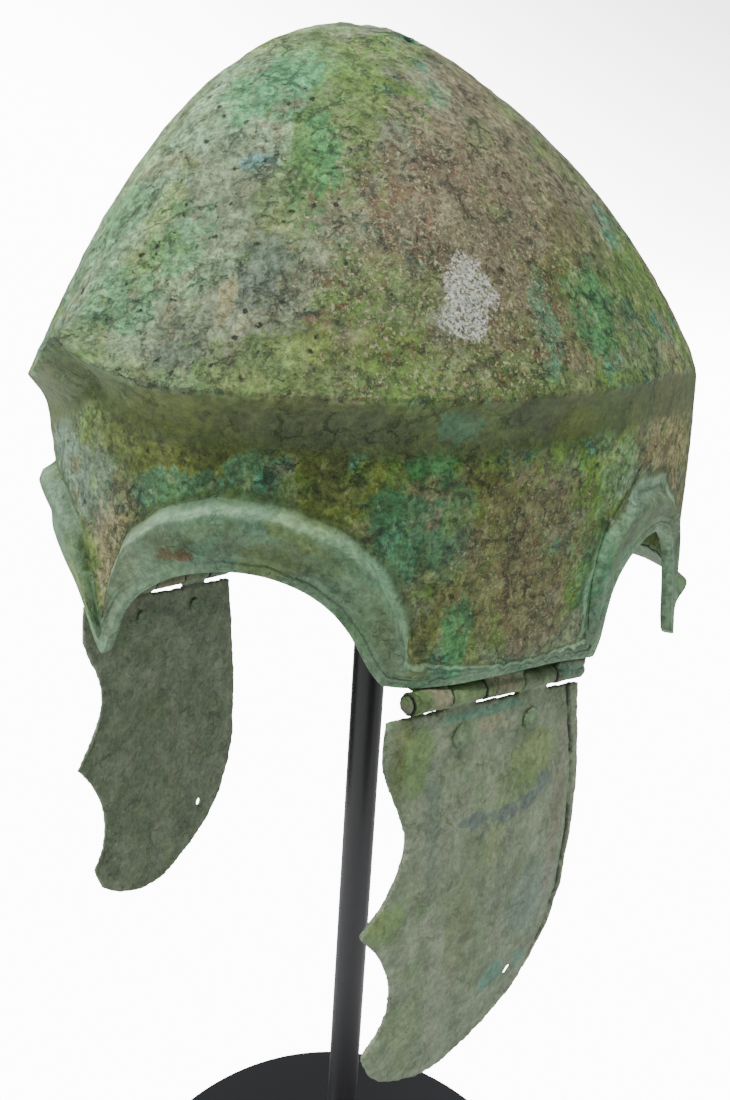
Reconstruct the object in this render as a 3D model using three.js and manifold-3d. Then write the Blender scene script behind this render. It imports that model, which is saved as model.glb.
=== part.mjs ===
// Chalcidian bronze helmet with hinged cheekpieces, on a rod-and-disc display stand.
// Millimetres, +Z up. The nose guard points to -Y and the wearer's left is +X.
// The origin is the centre of the stand's underside, below the rod.
// Angles run around the bowl from the nose: 0 is the nose, 90 the wearer's left ear, 180 the nape.
import * as THREE from 'three';
import { mergeVertices } from 'three/addons/utils/BufferGeometryUtils.js';
import Module from 'manifold-3d';

const wasm = await Module();
wasm.setup();

// ---------------------------------------------------------------- driving dimensions

const GAP = 0.3;               // clearance between pieces that touch on the real object
const WALL = 2.0;              // thickness of the hammered bronze wall

const STAND = {
  discRadius: 100, discHeight: 6, discEdge: 1.2,
  rodRadius: 6.0, padRadius: 16, padHeight: 6, padTop: 468.3, sides: 20, discSides: 40,
};

// The dome stands on a foot ring and closes at the crown. Each *Fall and *Round pair
// shapes one profile: width = full * (1 - h^Fall)^(1/Round), with h from 0 to 1.
const DOME = {
  foot: 365.5, rise: 108.8, crownShift: -18.4,
  side: 96.7, sideFall: 1.243, sideRound: 1.70,
  front: 117.4, frontFall: 1.134, frontRound: 1.98,
  rear: 124.6, rearFall: 2.384, rearRound: 1.564,
  frontPlan: 1.95, rearPlan: 2.5,
};

// Heights of the dome's grid rows, as shares of the way from the ridge to the crown.
const DOME_ROWS = [0.035, 0.12, 0.26, 0.44, 0.63, 0.80, 0.92, 0.98];

// The sharp ridge (carination) round the bowl, with its gable over the brow.
// flare is how far the ridge stands out from the dome's own curve.
const RIDGE = [
  { angle: 0, height: 381.5, flare: 12.0 },
  { angle: 5, height: 376.6, flare: 8.4 },
  { angle: 11, height: 373.4, flare: 5.2 },
  { angle: 18, height: 372.0, flare: 3.2 },
  { angle: 35, height: 371.8, flare: 1.9 },
  { angle: 55, height: 373.4, flare: 1.4 },
  { angle: 75, height: 377.2, flare: 1.0 },
  { angle: 95, height: 382.0, flare: 0.7 },
  { angle: 120, height: 384.5, flare: 0.2 },
  { angle: 150, height: 384.0, flare: 0.4 },
  { angle: 180, height: 383.0, flare: 0.8 },
];

// The wall below the ridge, by height: half lengths to the brow and the nape, and half
// widths before and behind the ear.
const WALL_SECTIONS = [
  { height: 296, front: 112.6, rear: 118.0, sideFront: 80.5, sideRear: 94.5 },
  { height: 322, front: 112.8, rear: 116.8, sideFront: 84.5, sideRear: 93.5 },
  { height: 345, front: 113.0, rear: 117.5, sideFront: 88.0, sideRear: 92.3 },
  { height: 372, front: 114.4, rear: 119.5, sideFront: 90.5, sideRear: 91.0 },
];
const EAR = { from: 78, to: 110 };   // angles over which the wall changes from front to rear

// The lower rim, from the nose to the nape. The edge is the opening's edge. The step is
// the line where the raised band meets the plain wall. band is how far the band's crest
// stands out of the wall, lip how far the edge does, thick the metal's thickness at the
// edge. columns is the grid's share.
const RIM = [
  { edgeAngle: 0, edgeHeight: 304.8, stepAngle: 0, stepHeight: 309.5, band: 0.8, lip: 0.4, thick: 2.6, columns: 1 },
  { edgeAngle: 2.0, edgeHeight: 307.6, stepAngle: 1.1, stepHeight: 312.5, band: 1.2, lip: 0.6, thick: 2.6, columns: 1 },
  { edgeAngle: 3.8, edgeHeight: 313.8, stepAngle: 1.9, stepHeight: 317.5, band: 1.8, lip: 1.0, thick: 2.6, columns: 1 },
  { edgeAngle: 6.7, edgeHeight: 320.4, stepAngle: 3.2, stepHeight: 326, band: 2.6, lip: 1.4, thick: 2.6, columns: 1 },
  { edgeAngle: 11.4, edgeHeight: 325.6, stepAngle: 6.6, stepHeight: 337.5, band: 3.6, lip: 1.8, thick: 2.7, columns: 1 },
  { edgeAngle: 17.3, edgeHeight: 330.0, stepAngle: 13.5, stepHeight: 345, band: 4.2, lip: 2.0, thick: 2.8, columns: 1 },
  { edgeAngle: 23.5, edgeHeight: 332.0, stepAngle: 21, stepHeight: 348.8, band: 4.5, lip: 2.0, thick: 2.8, columns: 1 },
  { edgeAngle: 29.5, edgeHeight: 331.6, stepAngle: 29, stepHeight: 348.4, band: 4.5, lip: 2.0, thick: 2.8, columns: 1 },
  { edgeAngle: 35.2, edgeHeight: 328.2, stepAngle: 36.8, stepHeight: 344.4, band: 4.2, lip: 2.0, thick: 2.8, columns: 1 },
  { edgeAngle: 39.4, edgeHeight: 322.8, stepAngle: 42.8, stepHeight: 337.6, band: 3.9, lip: 1.8, thick: 2.8, columns: 1 },
  { edgeAngle: 42.6, edgeHeight: 315.8, stepAngle: 47.2, stepHeight: 327.6, band: 3.6, lip: 1.6, thick: 2.8, columns: 1 },
  { edgeAngle: 45.2, edgeHeight: 307.8, stepAngle: 50.0, stepHeight: 316.8, band: 3.2, lip: 1.4, thick: 2.7, columns: 1 },
  { edgeAngle: 47.4, edgeHeight: 303.6, stepAngle: 51.8, stepHeight: 309.6, band: 2.6, lip: 1.0, thick: 2.6, columns: 1 },
  { edgeAngle: 51.0, edgeHeight: 302.0, stepAngle: 54.2, stepHeight: 306.6, band: 1.4, lip: 0.4, thick: 2.4, columns: 1 },
  { edgeAngle: 56.5, edgeHeight: 301.3, stepAngle: 57.8, stepHeight: 305.4, band: 0.5, lip: 0.3, thick: 2.2, columns: 2 },
  { edgeAngle: 66, edgeHeight: 301.5, stepAngle: 66.3, stepHeight: 305.4, band: 0.4, lip: 0.3, thick: 2.2, columns: 2 },
  { edgeAngle: 76, edgeHeight: 301.1, stepAngle: 75.4, stepHeight: 305, band: 0.4, lip: 0.3, thick: 2.2, columns: 2 },
  { edgeAngle: 84.4, edgeHeight: 299.9, stepAngle: 82.4, stepHeight: 304.4, band: 0.8, lip: 0.3, thick: 2.4, columns: 1 },
  { edgeAngle: 88.2, edgeHeight: 299.2, stepAngle: 84.8, stepHeight: 305.4, band: 1.2, lip: 0.4, thick: 2.6, columns: 1 },
  { edgeAngle: 88.9, edgeHeight: 304.2, stepAngle: 85.2, stepHeight: 309.6, band: 1.6, lip: 0.5, thick: 2.8, columns: 1 },
  { edgeAngle: 88.7, edgeHeight: 312.2, stepAngle: 83.8, stepHeight: 318, band: 2.2, lip: 0.6, thick: 3.0, columns: 1 },
  { edgeAngle: 88.9, edgeHeight: 320.6, stepAngle: 82.6, stepHeight: 329, band: 2.8, lip: 0.7, thick: 3.2, columns: 1 },
  { edgeAngle: 90.2, edgeHeight: 327.8, stepAngle: 82.9, stepHeight: 338.8, band: 3.3, lip: 0.8, thick: 3.2, columns: 1 },
  { edgeAngle: 92.6, edgeHeight: 333.6, stepAngle: 86.2, stepHeight: 346.2, band: 3.6, lip: 0.8, thick: 3.2, columns: 1 },
  { edgeAngle: 95.8, edgeHeight: 336.2, stepAngle: 91.8, stepHeight: 349.8, band: 3.6, lip: 0.8, thick: 3.2, columns: 1 },
  { edgeAngle: 99.4, edgeHeight: 334.6, stepAngle: 98.8, stepHeight: 346.6, band: 3.2, lip: 0.9, thick: 3.2, columns: 1 },
  { edgeAngle: 102.4, edgeHeight: 328.6, stepAngle: 104, stepHeight: 337.6, band: 2.4, lip: 1.0, thick: 3.4, columns: 1 },
  { edgeAngle: 104.4, edgeHeight: 318.6, stepAngle: 107.6, stepHeight: 324.6, band: 1.6, lip: 1.1, thick: 3.6, columns: 1 },
  { edgeAngle: 105.4, edgeHeight: 307.4, stepAngle: 109.0, stepHeight: 311.8, band: 1.0, lip: 1.2, thick: 3.6, columns: 1 },
  { edgeAngle: 106.6, edgeHeight: 298.9, stepAngle: 110.2, stepHeight: 304, band: 0.6, lip: 1.4, thick: 3.6, columns: 1 },
  { edgeAngle: 110.0, edgeHeight: 295.6, stepAngle: 112.4, stepHeight: 301.8, band: 0.4, lip: 1.4, thick: 3.6, columns: 1 },
  { edgeAngle: 115.6, edgeHeight: 298.4, stepAngle: 116.4, stepHeight: 305, band: 0.2, lip: 0.9, thick: 3.4, columns: 1 },
  { edgeAngle: 120.6, edgeHeight: 302.4, stepAngle: 121.2, stepHeight: 309.6, band: 0, lip: 1.4, thick: 3.4, columns: 1 },
  { edgeAngle: 124.6, edgeHeight: 305.8, stepAngle: 125, stepHeight: 315, band: 0, lip: 6.0, thick: 4.4, columns: 1 },
  { edgeAngle: 129, edgeHeight: 307.4, stepAngle: 129.2, stepHeight: 316.6, band: 0, lip: 8.4, thick: 4.8, columns: 2 },
  { edgeAngle: 143, edgeHeight: 307.8, stepAngle: 143, stepHeight: 317, band: 0, lip: 8.8, thick: 4.8, columns: 3 },
  { edgeAngle: 161, edgeHeight: 307.8, stepAngle: 161, stepHeight: 317, band: 0, lip: 8.8, thick: 4.8, columns: 3 },
  { edgeAngle: 180, edgeHeight: 307.6, stepAngle: 180, stepHeight: 316.8, band: 0, lip: 8.8, thick: 4.8, columns: 0 },
];

const HALF_COLUMNS = RIM.reduce((sum, row) => sum + row.columns, 0);

// The raised band's profile, from the edge (0) to the step (1), as a share of band.
const BAND_PROFILE = [
  { across: 0, share: 0 },
  { across: 0.14, share: 0.06 },
  { across: 0.42, share: 0.40 },
  { across: 0.70, share: 1.0 },
  { across: 0.86, share: 0.78 },
  { across: 1, share: 0 },
];

// Rows under the ridge: drop below it, and how much of the ridge's overhang is left.
const UNDERCUT = [
  { drop: 13, overhang: 0 },
  { drop: 7.6, overhang: -0.06 },
  { drop: 3.6, overhang: 0.42 },
];
const PLAIN_ROWS = [0.3, 0.62];     // wall rows between the step and the undercut
const RIM_PULL = 0.55;              // how far the dome's columns follow the rim's spacing

// Dents in the dome: where they are, how wide, and how far the metal is pushed in.
const DENTS = [
  { angle: -38, height: 402, radius: 26, depth: 1.8 },
  { angle: 12, height: 398, radius: 24, depth: 1.6 },
  { angle: 42, height: 430, radius: 22, depth: 0.9 },
  { angle: 75, height: 408, radius: 24, depth: 0.8 },
  { angle: -60, height: 440, radius: 24, depth: 1.4 },
  { angle: 110, height: 432, radius: 26, depth: 0.9 },
  { angle: 150, height: 405, radius: 30, depth: 1.0 },
  { angle: -130, height: 425, radius: 28, depth: 0.8 },
  { angle: 66, height: 330, radius: 20, depth: 0.7 },
];

// Holes worn or punched through the wall: half sizes along the wall and up it.
const HOLES = [
  { name: 'crown_crack', angle: 65.5, height: 465.7, across: 4.0, up: 1.7, turn: 0 },
  { name: 'rear_corner', angle: 86.2, height: 303.4, across: 0.9, up: 0.9, turn: 0 },
];

// The hinge's axis on the wearer's left, and its five knuckles from front to rear.
const HINGE = {
  front: new THREE.Vector3(64.6, -71.4, 298.55),
  rear: new THREE.Vector3(79.6, 7.0, 292.75),
  barrel: 3.05, bore: 1.7, pin: 1.3, pinHead: 2.7, sides: 10,
  joints: [0.012, 0.186, 0.352, 0.558, 0.749, 0.920],
  leaf: 1.2, stripLow: 303, stripTop: 312,
};

// The left cheekpiece's outline in its plate's plane, as smooth stretches between corners.
// run goes along the hinge from the ear-ward zero to the front (negative), drop is the
// distance below the hinge's axis.
const CHEEK_OUTLINE = [
  { stretch: 'eye side', run: -78.0, drop: 4.4 },
  { stretch: 'eye side', run: -78.6, drop: 15.2 },
  { stretch: 'eye side', run: -75.8, drop: 22.4 },
  { stretch: 'eye side', run: -69.2, drop: 37.0 },
  { stretch: 'eye side', run: -72.8, drop: 51.2 },
  { stretch: 'eye side', run: -82.2, drop: 62.5 },
  { stretch: 'mouth', run: -74.6, drop: 71.7 },
  { stretch: 'mouth', run: -70.0, drop: 83.7 },
  { stretch: 'mouth', run: -71.4, drop: 94.7 },
  { stretch: 'mouth', run: -77.2, drop: 103.1 },
  { stretch: 'jaw', run: -72.6, drop: 112.1 },
  { stretch: 'jaw', run: -62.5, drop: 118.7 },
  { stretch: 'jaw', run: -50.0, drop: 122.2 },
  { stretch: 'jaw', run: -37.0, drop: 120.8 },
  { stretch: 'jaw', run: -11.3, drop: 108.4 },
  { stretch: 'jaw', run: 4.6, drop: 84.8 },
  { stretch: 'jaw', run: 7.4, drop: 53.4 },
  { stretch: 'jaw', run: 5.2, drop: 25.4 },
  { stretch: 'jaw', run: 1.6, drop: 5.4 },
];
const CHEEK = {
  thickness: 1.7, bulge: 3.4, curl: 3.4, hang: 0.33, flat: 19.6, depth: 121.6, middle: -37, reach: 46,
  rivetRuns: [-51.4, -21.4], rivetDrop: 12.2, rivetRadius: 1.4, headRadius: 3.7, headRise: 2.0,
  strapRun: -17.0, strapDrop: 100.1, strapRadius: 1.6,
};

// ---------------------------------------------------------------- small helpers

const { lerp, clamp, smoothstep, degToRad } = THREE.MathUtils;

// A smooth curve through a table's rows, read at key = x. Returns every column.
function sample(rows, key, x) {
  const last = rows.length - 1;
  let i = 0;
  while (i < last - 1 && rows[i + 1][key] < x) i += 1;
  const [a, b] = [rows[i], rows[i + 1]];
  const before = rows[Math.max(i - 1, 0)];
  const after = rows[Math.min(i + 2, last)];
  const span = b[key] - a[key];
  const s = clamp((x - a[key]) / span, 0, 1);
  const row = {};
  for (const column of Object.keys(a)) {
    if (typeof a[column] !== 'number') continue;
    const slopeA = (b[column] - before[column]) / (b[key] - before[key]);
    const slopeB = (after[column] - a[column]) / (after[key] - a[key]);
    const s2 = s * s;
    const s3 = s2 * s;
    row[column] = (2 * s3 - 3 * s2 + 1) * a[column] + (s3 - 2 * s2 + s) * span * slopeA
      + (3 * s2 - 2 * s3) * b[column] + (s3 - s2) * span * slopeB;
  }
  return row;
}

function meshOf(vertices, faces) {
  const geometry = new THREE.BufferGeometry();
  geometry.setAttribute('position', new THREE.Float32BufferAttribute(vertices.flat(), 3));
  geometry.setIndex(faces.flat());
  return geometry;
}

// A closed THREE geometry as a solid for cutting and joining, and back again.
function solidOf(geometry) {
  const bare = geometry.clone();
  bare.deleteAttribute('normal');
  bare.deleteAttribute('uv');
  const merged = mergeVertices(bare.index ? bare.toNonIndexed() : bare, 1e-4);
  const vertProperties = new Float32Array(merged.attributes.position.array);
  const triVerts = new Uint32Array(merged.index.array);
  return new wasm.Manifold(new wasm.Mesh({ numProp: 3, vertProperties, triVerts }));
}

function geometryOf(solid) {
  const mesh = solid.getMesh();
  const geometry = new THREE.BufferGeometry();
  geometry.setAttribute('position', new THREE.BufferAttribute(mesh.vertProperties, 3));
  geometry.setIndex(new THREE.BufferAttribute(mesh.triVerts, 1));
  return geometry;
}

// A round bar from one point to another.
function rod(from, to, radius, sides) {
  const geometry = new THREE.CylinderGeometry(radius, radius, from.distanceTo(to), sides);
  const along = new THREE.Vector3().subVectors(to, from).normalize();
  const turn = new THREE.Quaternion().setFromUnitVectors(new THREE.Vector3(0, 1, 0), along);
  geometry.applyQuaternion(turn);
  const middle = new THREE.Vector3().addVectors(from, to).multiplyScalar(0.5);
  return geometry.translate(middle.x, middle.y, middle.z);
}

// ---------------------------------------------------------------- the bowl's surface

// A point of a rounded oval at an angle round the bowl, and its outward direction.
function ovalPoint(angle, side, front, rear) {
  const a = degToRad(angle);
  const forward = Math.cos(a) > 0;
  const power = forward ? DOME.frontPlan : DOME.rearPlan;
  const length = forward ? front : rear;
  const x = side * Math.sign(Math.sin(a)) * Math.abs(Math.sin(a)) ** (2 / power);
  const y = -length * Math.sign(Math.cos(a)) * Math.abs(Math.cos(a)) ** (2 / power);
  const out = new THREE.Vector2(x / side ** 2, y / length ** 2).normalize();
  return { x, y, out };
}

function wallPoint(angle, height) {
  const section = sample(WALL_SECTIONS, 'height', height);
  const behind = smoothstep(Math.abs(angle), EAR.from, EAR.to);
  const side = lerp(section.sideFront, section.sideRear, behind);
  return ovalPoint(angle, side, section.front, section.rear);
}

function domePoint(angle, height) {
  const h = clamp((height - DOME.foot) / DOME.rise, 0, 0.9999);
  const share = (fall, round) => (1 - h ** fall) ** (1 / round);
  const side = DOME.side * share(DOME.sideFall, DOME.sideRound);
  const front = DOME.front * share(DOME.frontFall, DOME.frontRound);
  const rear = DOME.rear * share(DOME.rearFall, DOME.rearRound);
  const point = ovalPoint(angle, side, front, rear);
  point.y += DOME.crownShift * h;
  return point;
}

function place(point, height, outward) {
  return new THREE.Vector3(
    point.x + point.out.x * outward, point.y + point.out.y * outward, height);
}

// How far the dome is pushed in at a point by the dents.
function dentAt(position) {
  let depth = 0;
  for (const dent of DENTS) {
    const surface = dent.height > DOME.foot ? domePoint : wallPoint;
    const centre = place(surface(dent.angle, dent.height), dent.height, 0);
    const reach = position.distanceTo(centre) / dent.radius;
    if (reach < 1) depth += dent.depth * (1 - reach * reach) ** 2;
  }
  return depth;
}

// The grid columns of one half: the rim's rows, each split into its share of columns.
function rimColumns() {
  const rows = RIM.map((row, index) => ({ ...row, index }));
  const columns = [];
  for (const row of rows) {
    const count = Math.max(row.columns, 1);
    for (let k = 0; k < count; k += 1) columns.push(sample(rows, 'index', row.index + k / count));
  }
  return columns;
}

// One column of the outer surface, from the rim's edge up to just below the crown.
function outerColumn(rim, dome, side) {
  const ridge = sample(RIDGE, 'angle', dome);
  const column = [];
  const add = (point, height, outward, thick = WALL) => {
    const position = place(point, height, outward);
    const dent = height > 312 ? dentAt(position) : 0;
    column.push({ position: place(point, height, outward - dent), out: point.out, thick });
  };
  for (const { across, share } of BAND_PROFILE) {
    const angle = side * lerp(rim.edgeAngle, rim.stepAngle, across);
    const height = lerp(rim.edgeHeight, rim.stepHeight, across);
    const outward = rim.band * share + rim.lip * (1 - across) ** 2;
    add(wallPoint(angle, height), height, outward, lerp(rim.thick, WALL, across));
  }
  const foot = ridge.height - UNDERCUT[0].drop;
  for (const way of PLAIN_ROWS) {
    const angle = side * lerp(rim.stepAngle, dome, way);
    const height = lerp(rim.stepHeight, foot, way);
    add(wallPoint(angle, height), height, 0);
  }
  const lip = domePoint(side * dome, ridge.height);
  const lipPlace = place(lip, ridge.height, ridge.flare);
  for (const { drop, overhang } of UNDERCUT) {
    const height = ridge.height - drop;
    const wall = wallPoint(side * dome, height);
    const wallPlace = place(wall, height, 0);
    const step = new THREE.Vector2(lipPlace.x - wallPlace.x, lipPlace.y - wallPlace.y);
    add(wall, height, step.dot(wall.out) * overhang);
  }
  add(lip, ridge.height, ridge.flare);
  for (const way of DOME_ROWS) {
    const height = lerp(ridge.height, DOME.foot + DOME.rise, way);
    const flare = ridge.flare * Math.exp(-(height - ridge.height) / 9);
    add(domePoint(side * dome, height), height, flare);
  }
  return column;
}

// The closed shell: an outer and an inner skin, joined along the rim.
function bowlGeometry() {
  const half = rimColumns();
  const count = 2 * HALF_COLUMNS;
  const columns = [];
  for (let j = 0; j < count; j += 1) {
    const k = j <= HALF_COLUMNS ? j : count - j;
    const side = j <= HALF_COLUMNS ? 1 : -1;
    const even = (k * 180) / HALF_COLUMNS;
    columns.push(outerColumn(half[k], lerp(even, half[k].edgeAngle, RIM_PULL), side));
  }
  const rows = columns[0].length;
  const crown = new THREE.Vector3(0, DOME.crownShift, DOME.foot + DOME.rise);
  const outer = columns.map((column) => column.map((spot) => spot.position));
  const inner = columns.map((column, j) => column.map((spot, r) => {
    const left = outer[(j + count - 1) % count][r];
    const right = outer[(j + 1) % count][r];
    const below = outer[j][Math.max(r - 1, 0)];
    const above = r + 1 < rows ? outer[j][r + 1] : crown;
    const along = new THREE.Vector3().subVectors(right, left);
    const up = new THREE.Vector3().subVectors(above, below);
    const normal = new THREE.Vector3().crossVectors(along, up).normalize();
    const level = new THREE.Vector3(spot.out.x, spot.out.y, 0);
    const tilt = smoothstep(r, rows - DOME_ROWS.length - 1, rows - DOME_ROWS.length + 3);
    const direction = level.lerp(normal, tilt).normalize();
    return spot.position.clone().addScaledVector(direction, -spot.thick);
  }));
  const vertices = [];
  const faces = [];
  for (const column of [...outer, ...inner]) {
    for (const position of column) vertices.push(position.toArray());
  }
  const crownOuter = vertices.push(crown.toArray()) - 1;
  const crownInner = vertices.push([crown.x, crown.y, crown.z - WALL]) - 1;
  const outerAt = (j, r) => (j % count) * rows + r;
  const innerAt = (j, r) => (count + (j % count)) * rows + r;
  for (let j = 0; j < count; j += 1) {
    for (let r = 0; r + 1 < rows; r += 1) {
      const [a, b, c, d] = [outerAt(j, r), outerAt(j + 1, r), outerAt(j + 1, r + 1), outerAt(j, r + 1)];
      faces.push([a, b, c], [a, c, d]);
      const [e, f, g, h] = [innerAt(j, r), innerAt(j, r + 1), innerAt(j + 1, r + 1), innerAt(j + 1, r)];
      faces.push([e, f, g], [e, g, h]);
    }
    faces.push([outerAt(j, rows - 1), outerAt(j + 1, rows - 1), crownOuter]);
    faces.push([innerAt(j + 1, rows - 1), innerAt(j, rows - 1), crownInner]);
    faces.push([innerAt(j, 0), innerAt(j + 1, 0), outerAt(j + 1, 0)]);
    faces.push([innerAt(j, 0), outerAt(j + 1, 0), outerAt(j, 0)]);
  }
  return meshOf(vertices, faces);
}

// ---------------------------------------------------------------- hinges and cheekpieces

// A closed slab. pointAt(u, v, face) gives its corners, with face 0 outside and 1 inside.
function slab(columns, rows, pointAt) {
  const vertices = [];
  const at = (i, j, face) => (face * (rows + 1) + j) * (columns + 1) + i;
  for (const face of [0, 1]) {
    for (let j = 0; j <= rows; j += 1) {
      for (let i = 0; i <= columns; i += 1) vertices.push(pointAt(i / columns, j / rows, face).toArray());
    }
  }
  const faces = [];
  const quad = (a, b, c, d) => faces.push([a, b, c], [a, c, d]);
  for (let j = 0; j < rows; j += 1) {
    for (let i = 0; i < columns; i += 1) {
      quad(at(i, j, 0), at(i + 1, j, 0), at(i + 1, j + 1, 0), at(i, j + 1, 0));
      quad(at(i, j, 1), at(i, j + 1, 1), at(i + 1, j + 1, 1), at(i + 1, j, 1));
    }
    quad(at(0, j, 1), at(0, j, 0), at(0, j + 1, 0), at(0, j + 1, 1));
    quad(at(columns, j, 0), at(columns, j, 1), at(columns, j + 1, 1), at(columns, j + 1, 0));
  }
  for (let i = 0; i < columns; i += 1) {
    quad(at(i, 0, 1), at(i + 1, 0, 1), at(i + 1, 0, 0), at(i, 0, 0));
    quad(at(i, rows, 0), at(i + 1, rows, 0), at(i + 1, rows, 1), at(i, rows, 1));
  }
  return meshOf(vertices, faces);
}

// The plane of the left hinge: level direction from front to rear, and outward.
const level = new THREE.Vector3().subVectors(HINGE.rear, HINGE.front).setZ(0);
const hingeRun = level.length();
level.normalize();
const outward = new THREE.Vector3(level.y, -level.x, 0);
const frontRun = HINGE.front.y / level.y;
const zeroRun = HINGE.front.dot(level) - frontRun;

// A point near the hinge: run along it, out of its plane, and height above its axis.
function hingePoint(run, out, rise) {
  const way = (run - frontRun) / hingeRun;
  const axis = new THREE.Vector3().lerpVectors(HINGE.front, HINGE.rear, way);
  return axis.addScaledVector(outward, out).add(new THREE.Vector3(0, 0, rise));
}

const axisHeight = (run) => hingePoint(run, 0, 0).z;

// How far the bowl's outer wall stands out of the hinge's plane.
function wallOut(run, height) {
  let low = 40;
  let high = 110;
  for (let step = 0; step < 30; step += 1) {
    const angle = (low + high) / 2;
    const point = wallPoint(angle, height);
    if (point.x * level.x + point.y * level.y - zeroRun < run) low = angle;
    else high = angle;
  }
  const point = wallPoint(low, height);
  const onAxis = hingePoint(run, 0, 0);
  return (point.x - onAxis.x) * outward.x + (point.y - onAxis.y) * outward.y;
}

// A strip between two runs and two heights, following out(run, height) with its outer face.
function strip(fromRun, toRun, lowRise, highRise, columns, rows, out) {
  return slab(columns, rows, (u, v, face) => {
    const run = lerp(fromRun, toRun, u);
    const rise = lerp(lowRise(run), highRise(run), v);
    return hingePoint(run, out(run, rise) - face * HINGE.leaf, rise);
  });
}

// Knuckles: where each of the five starts and ends along the hinge.
const knuckles = HINGE.joints.slice(0, -1).map((joint, index) => ({
  from: frontRun + joint * hingeRun + GAP / 2,
  to: frontRun + HINGE.joints[index + 1] * hingeRun - GAP / 2,
  upper: index % 2 === 0,
}));

const knuckleTube = ({ from, to }) => solidOf(
  rod(hingePoint(from, 0, 0), hingePoint(to, 0, 0), HINGE.barrel, HINGE.sides));

const bore = () => solidOf(
  rod(hingePoint(frontRun - 3, 0, 0), hingePoint(frontRun + hingeRun + 3, 0, 0), HINGE.bore, HINGE.sides));

// The leaf inside the bowl, with the first, third and fifth knuckles.
function upperLeaf() {
  const clear = HINGE.barrel + 0.5;
  const root = HINGE.bore + 0.1;
  const behindWall = (run, rise) => wallOut(run, axisHeight(run) + rise) - WALL - 0.7;
  const low = (run) => HINGE.stripLow - axisHeight(run);
  const top = (run) => HINGE.stripTop - axisHeight(run);
  const from = frontRun + 5;
  const to = knuckles[4].to - 1;
  let leaf = solidOf(strip(from, to, low, top, 3, 1, behindWall));
  for (const knuckle of knuckles.filter(({ upper }) => upper)) {
    const start = Math.max(knuckle.from + 0.6, from + 0.2);
    const end = Math.min(knuckle.to - 0.6, to - 0.2);
    const tang = strip(start, end, () => root, (run) => low(run) + 0.8, 1, 1, behindWall);
    const web = slab(1, 1, (u, v, face) => {
      const run = lerp(start, end, u);
      const reach = Math.min(behindWall(run, clear), -0.6) - HINGE.leaf + 0.05;
      return hingePoint(run, face ? reach : 0.6, root + v * HINGE.leaf);
    });
    leaf = leaf.add(knuckleTube(knuckle)).add(solidOf(tang)).add(solidOf(web));
  }
  return geometryOf(leaf.subtract(bore()));
}

// How far the cheekpiece's outer face stands out of the hinge's plane.
function cheekOut(run, drop) {
  const down = clamp((drop - CHEEK.flat) / (CHEEK.depth - CHEEK.flat), 0, 1);
  const across = clamp((run - CHEEK.middle) / CHEEK.reach, -1, 1);
  const belly = CHEEK.bulge * Math.sin(Math.PI * down ** 0.8) * (1 - across ** 2);
  return CHEEK.hang + belly - CHEEK.curl * down ** 2;
}

function cheekOutline() {
  const points = CHEEK_OUTLINE.map(({ run, drop }) => new THREE.Vector2(run, -drop));
  const shape = new THREE.Shape();
  shape.moveTo(points[0].x, points[0].y);
  for (const name of ['eye side', 'mouth', 'jaw']) {
    const stretch = points.filter((point, index) => CHEEK_OUTLINE[index].stretch === name);
    shape.splineThru(name === 'eye side' ? stretch.slice(1) : stretch);
  }
  shape.closePath();
  return shape;
}

// A round hole or bar square to the cheekpiece's plate.
const acrossPlate = (run, drop, from, to, radius) => rod(
  hingePoint(run, from, -drop), hingePoint(run, to, -drop), radius, 10);

// The plate: a curved sheet trimmed to the outline, its edge rolled into the second and
// fourth knuckles, with holes for rivets and strap.
function cheekPlate() {
  const [fromRun, toRun, low] = [-90, 16, 127.6];
  const sheet = solidOf(slab(7, 7, (u, v, face) => {
    const run = lerp(fromRun, toRun, u);
    const drop = lerp(low, 1, v);
    return hingePoint(run, cheekOut(run, drop) - face * CHEEK.thickness, -drop);
  }));
  const depth = 40;
  const prism = new THREE.ExtrudeGeometry(cheekOutline(), { depth, bevelEnabled: false, curveSegments: 2 });
  const position = prism.attributes.position;
  for (let i = 0; i < position.count; i += 1) {
    const point = hingePoint(position.getX(i), position.getZ(i) - depth / 2, position.getY(i));
    position.setXYZ(i, point.x, point.y, point.z);
  }
  prism.deleteAttribute('normal');
  let plate = sheet.intersect(solidOf(prism));
  for (const knuckle of knuckles.filter(({ upper }) => !upper)) {
    const low = () => -CHEEK_OUTLINE.at(-1).drop - 1.2;
    const tang = strip(knuckle.from + 0.6, knuckle.to - 0.6, low, () => -HINGE.bore - 0.3, 1, 1, () => CHEEK.hang - 0.1);
    plate = plate.add(knuckleTube(knuckle)).add(solidOf(tang));
  }
  plate = plate.subtract(bore());
  for (const run of CHEEK.rivetRuns) {
    plate = plate.subtract(solidOf(acrossPlate(run, CHEEK.rivetDrop, -6, 8, CHEEK.rivetRadius + 1.5 * GAP)));
  }
  plate = plate.subtract(solidOf(acrossPlate(CHEEK.strapRun, CHEEK.strapDrop, -20, 20, CHEEK.strapRadius)));
  return geometryOf(plate);
}

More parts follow.
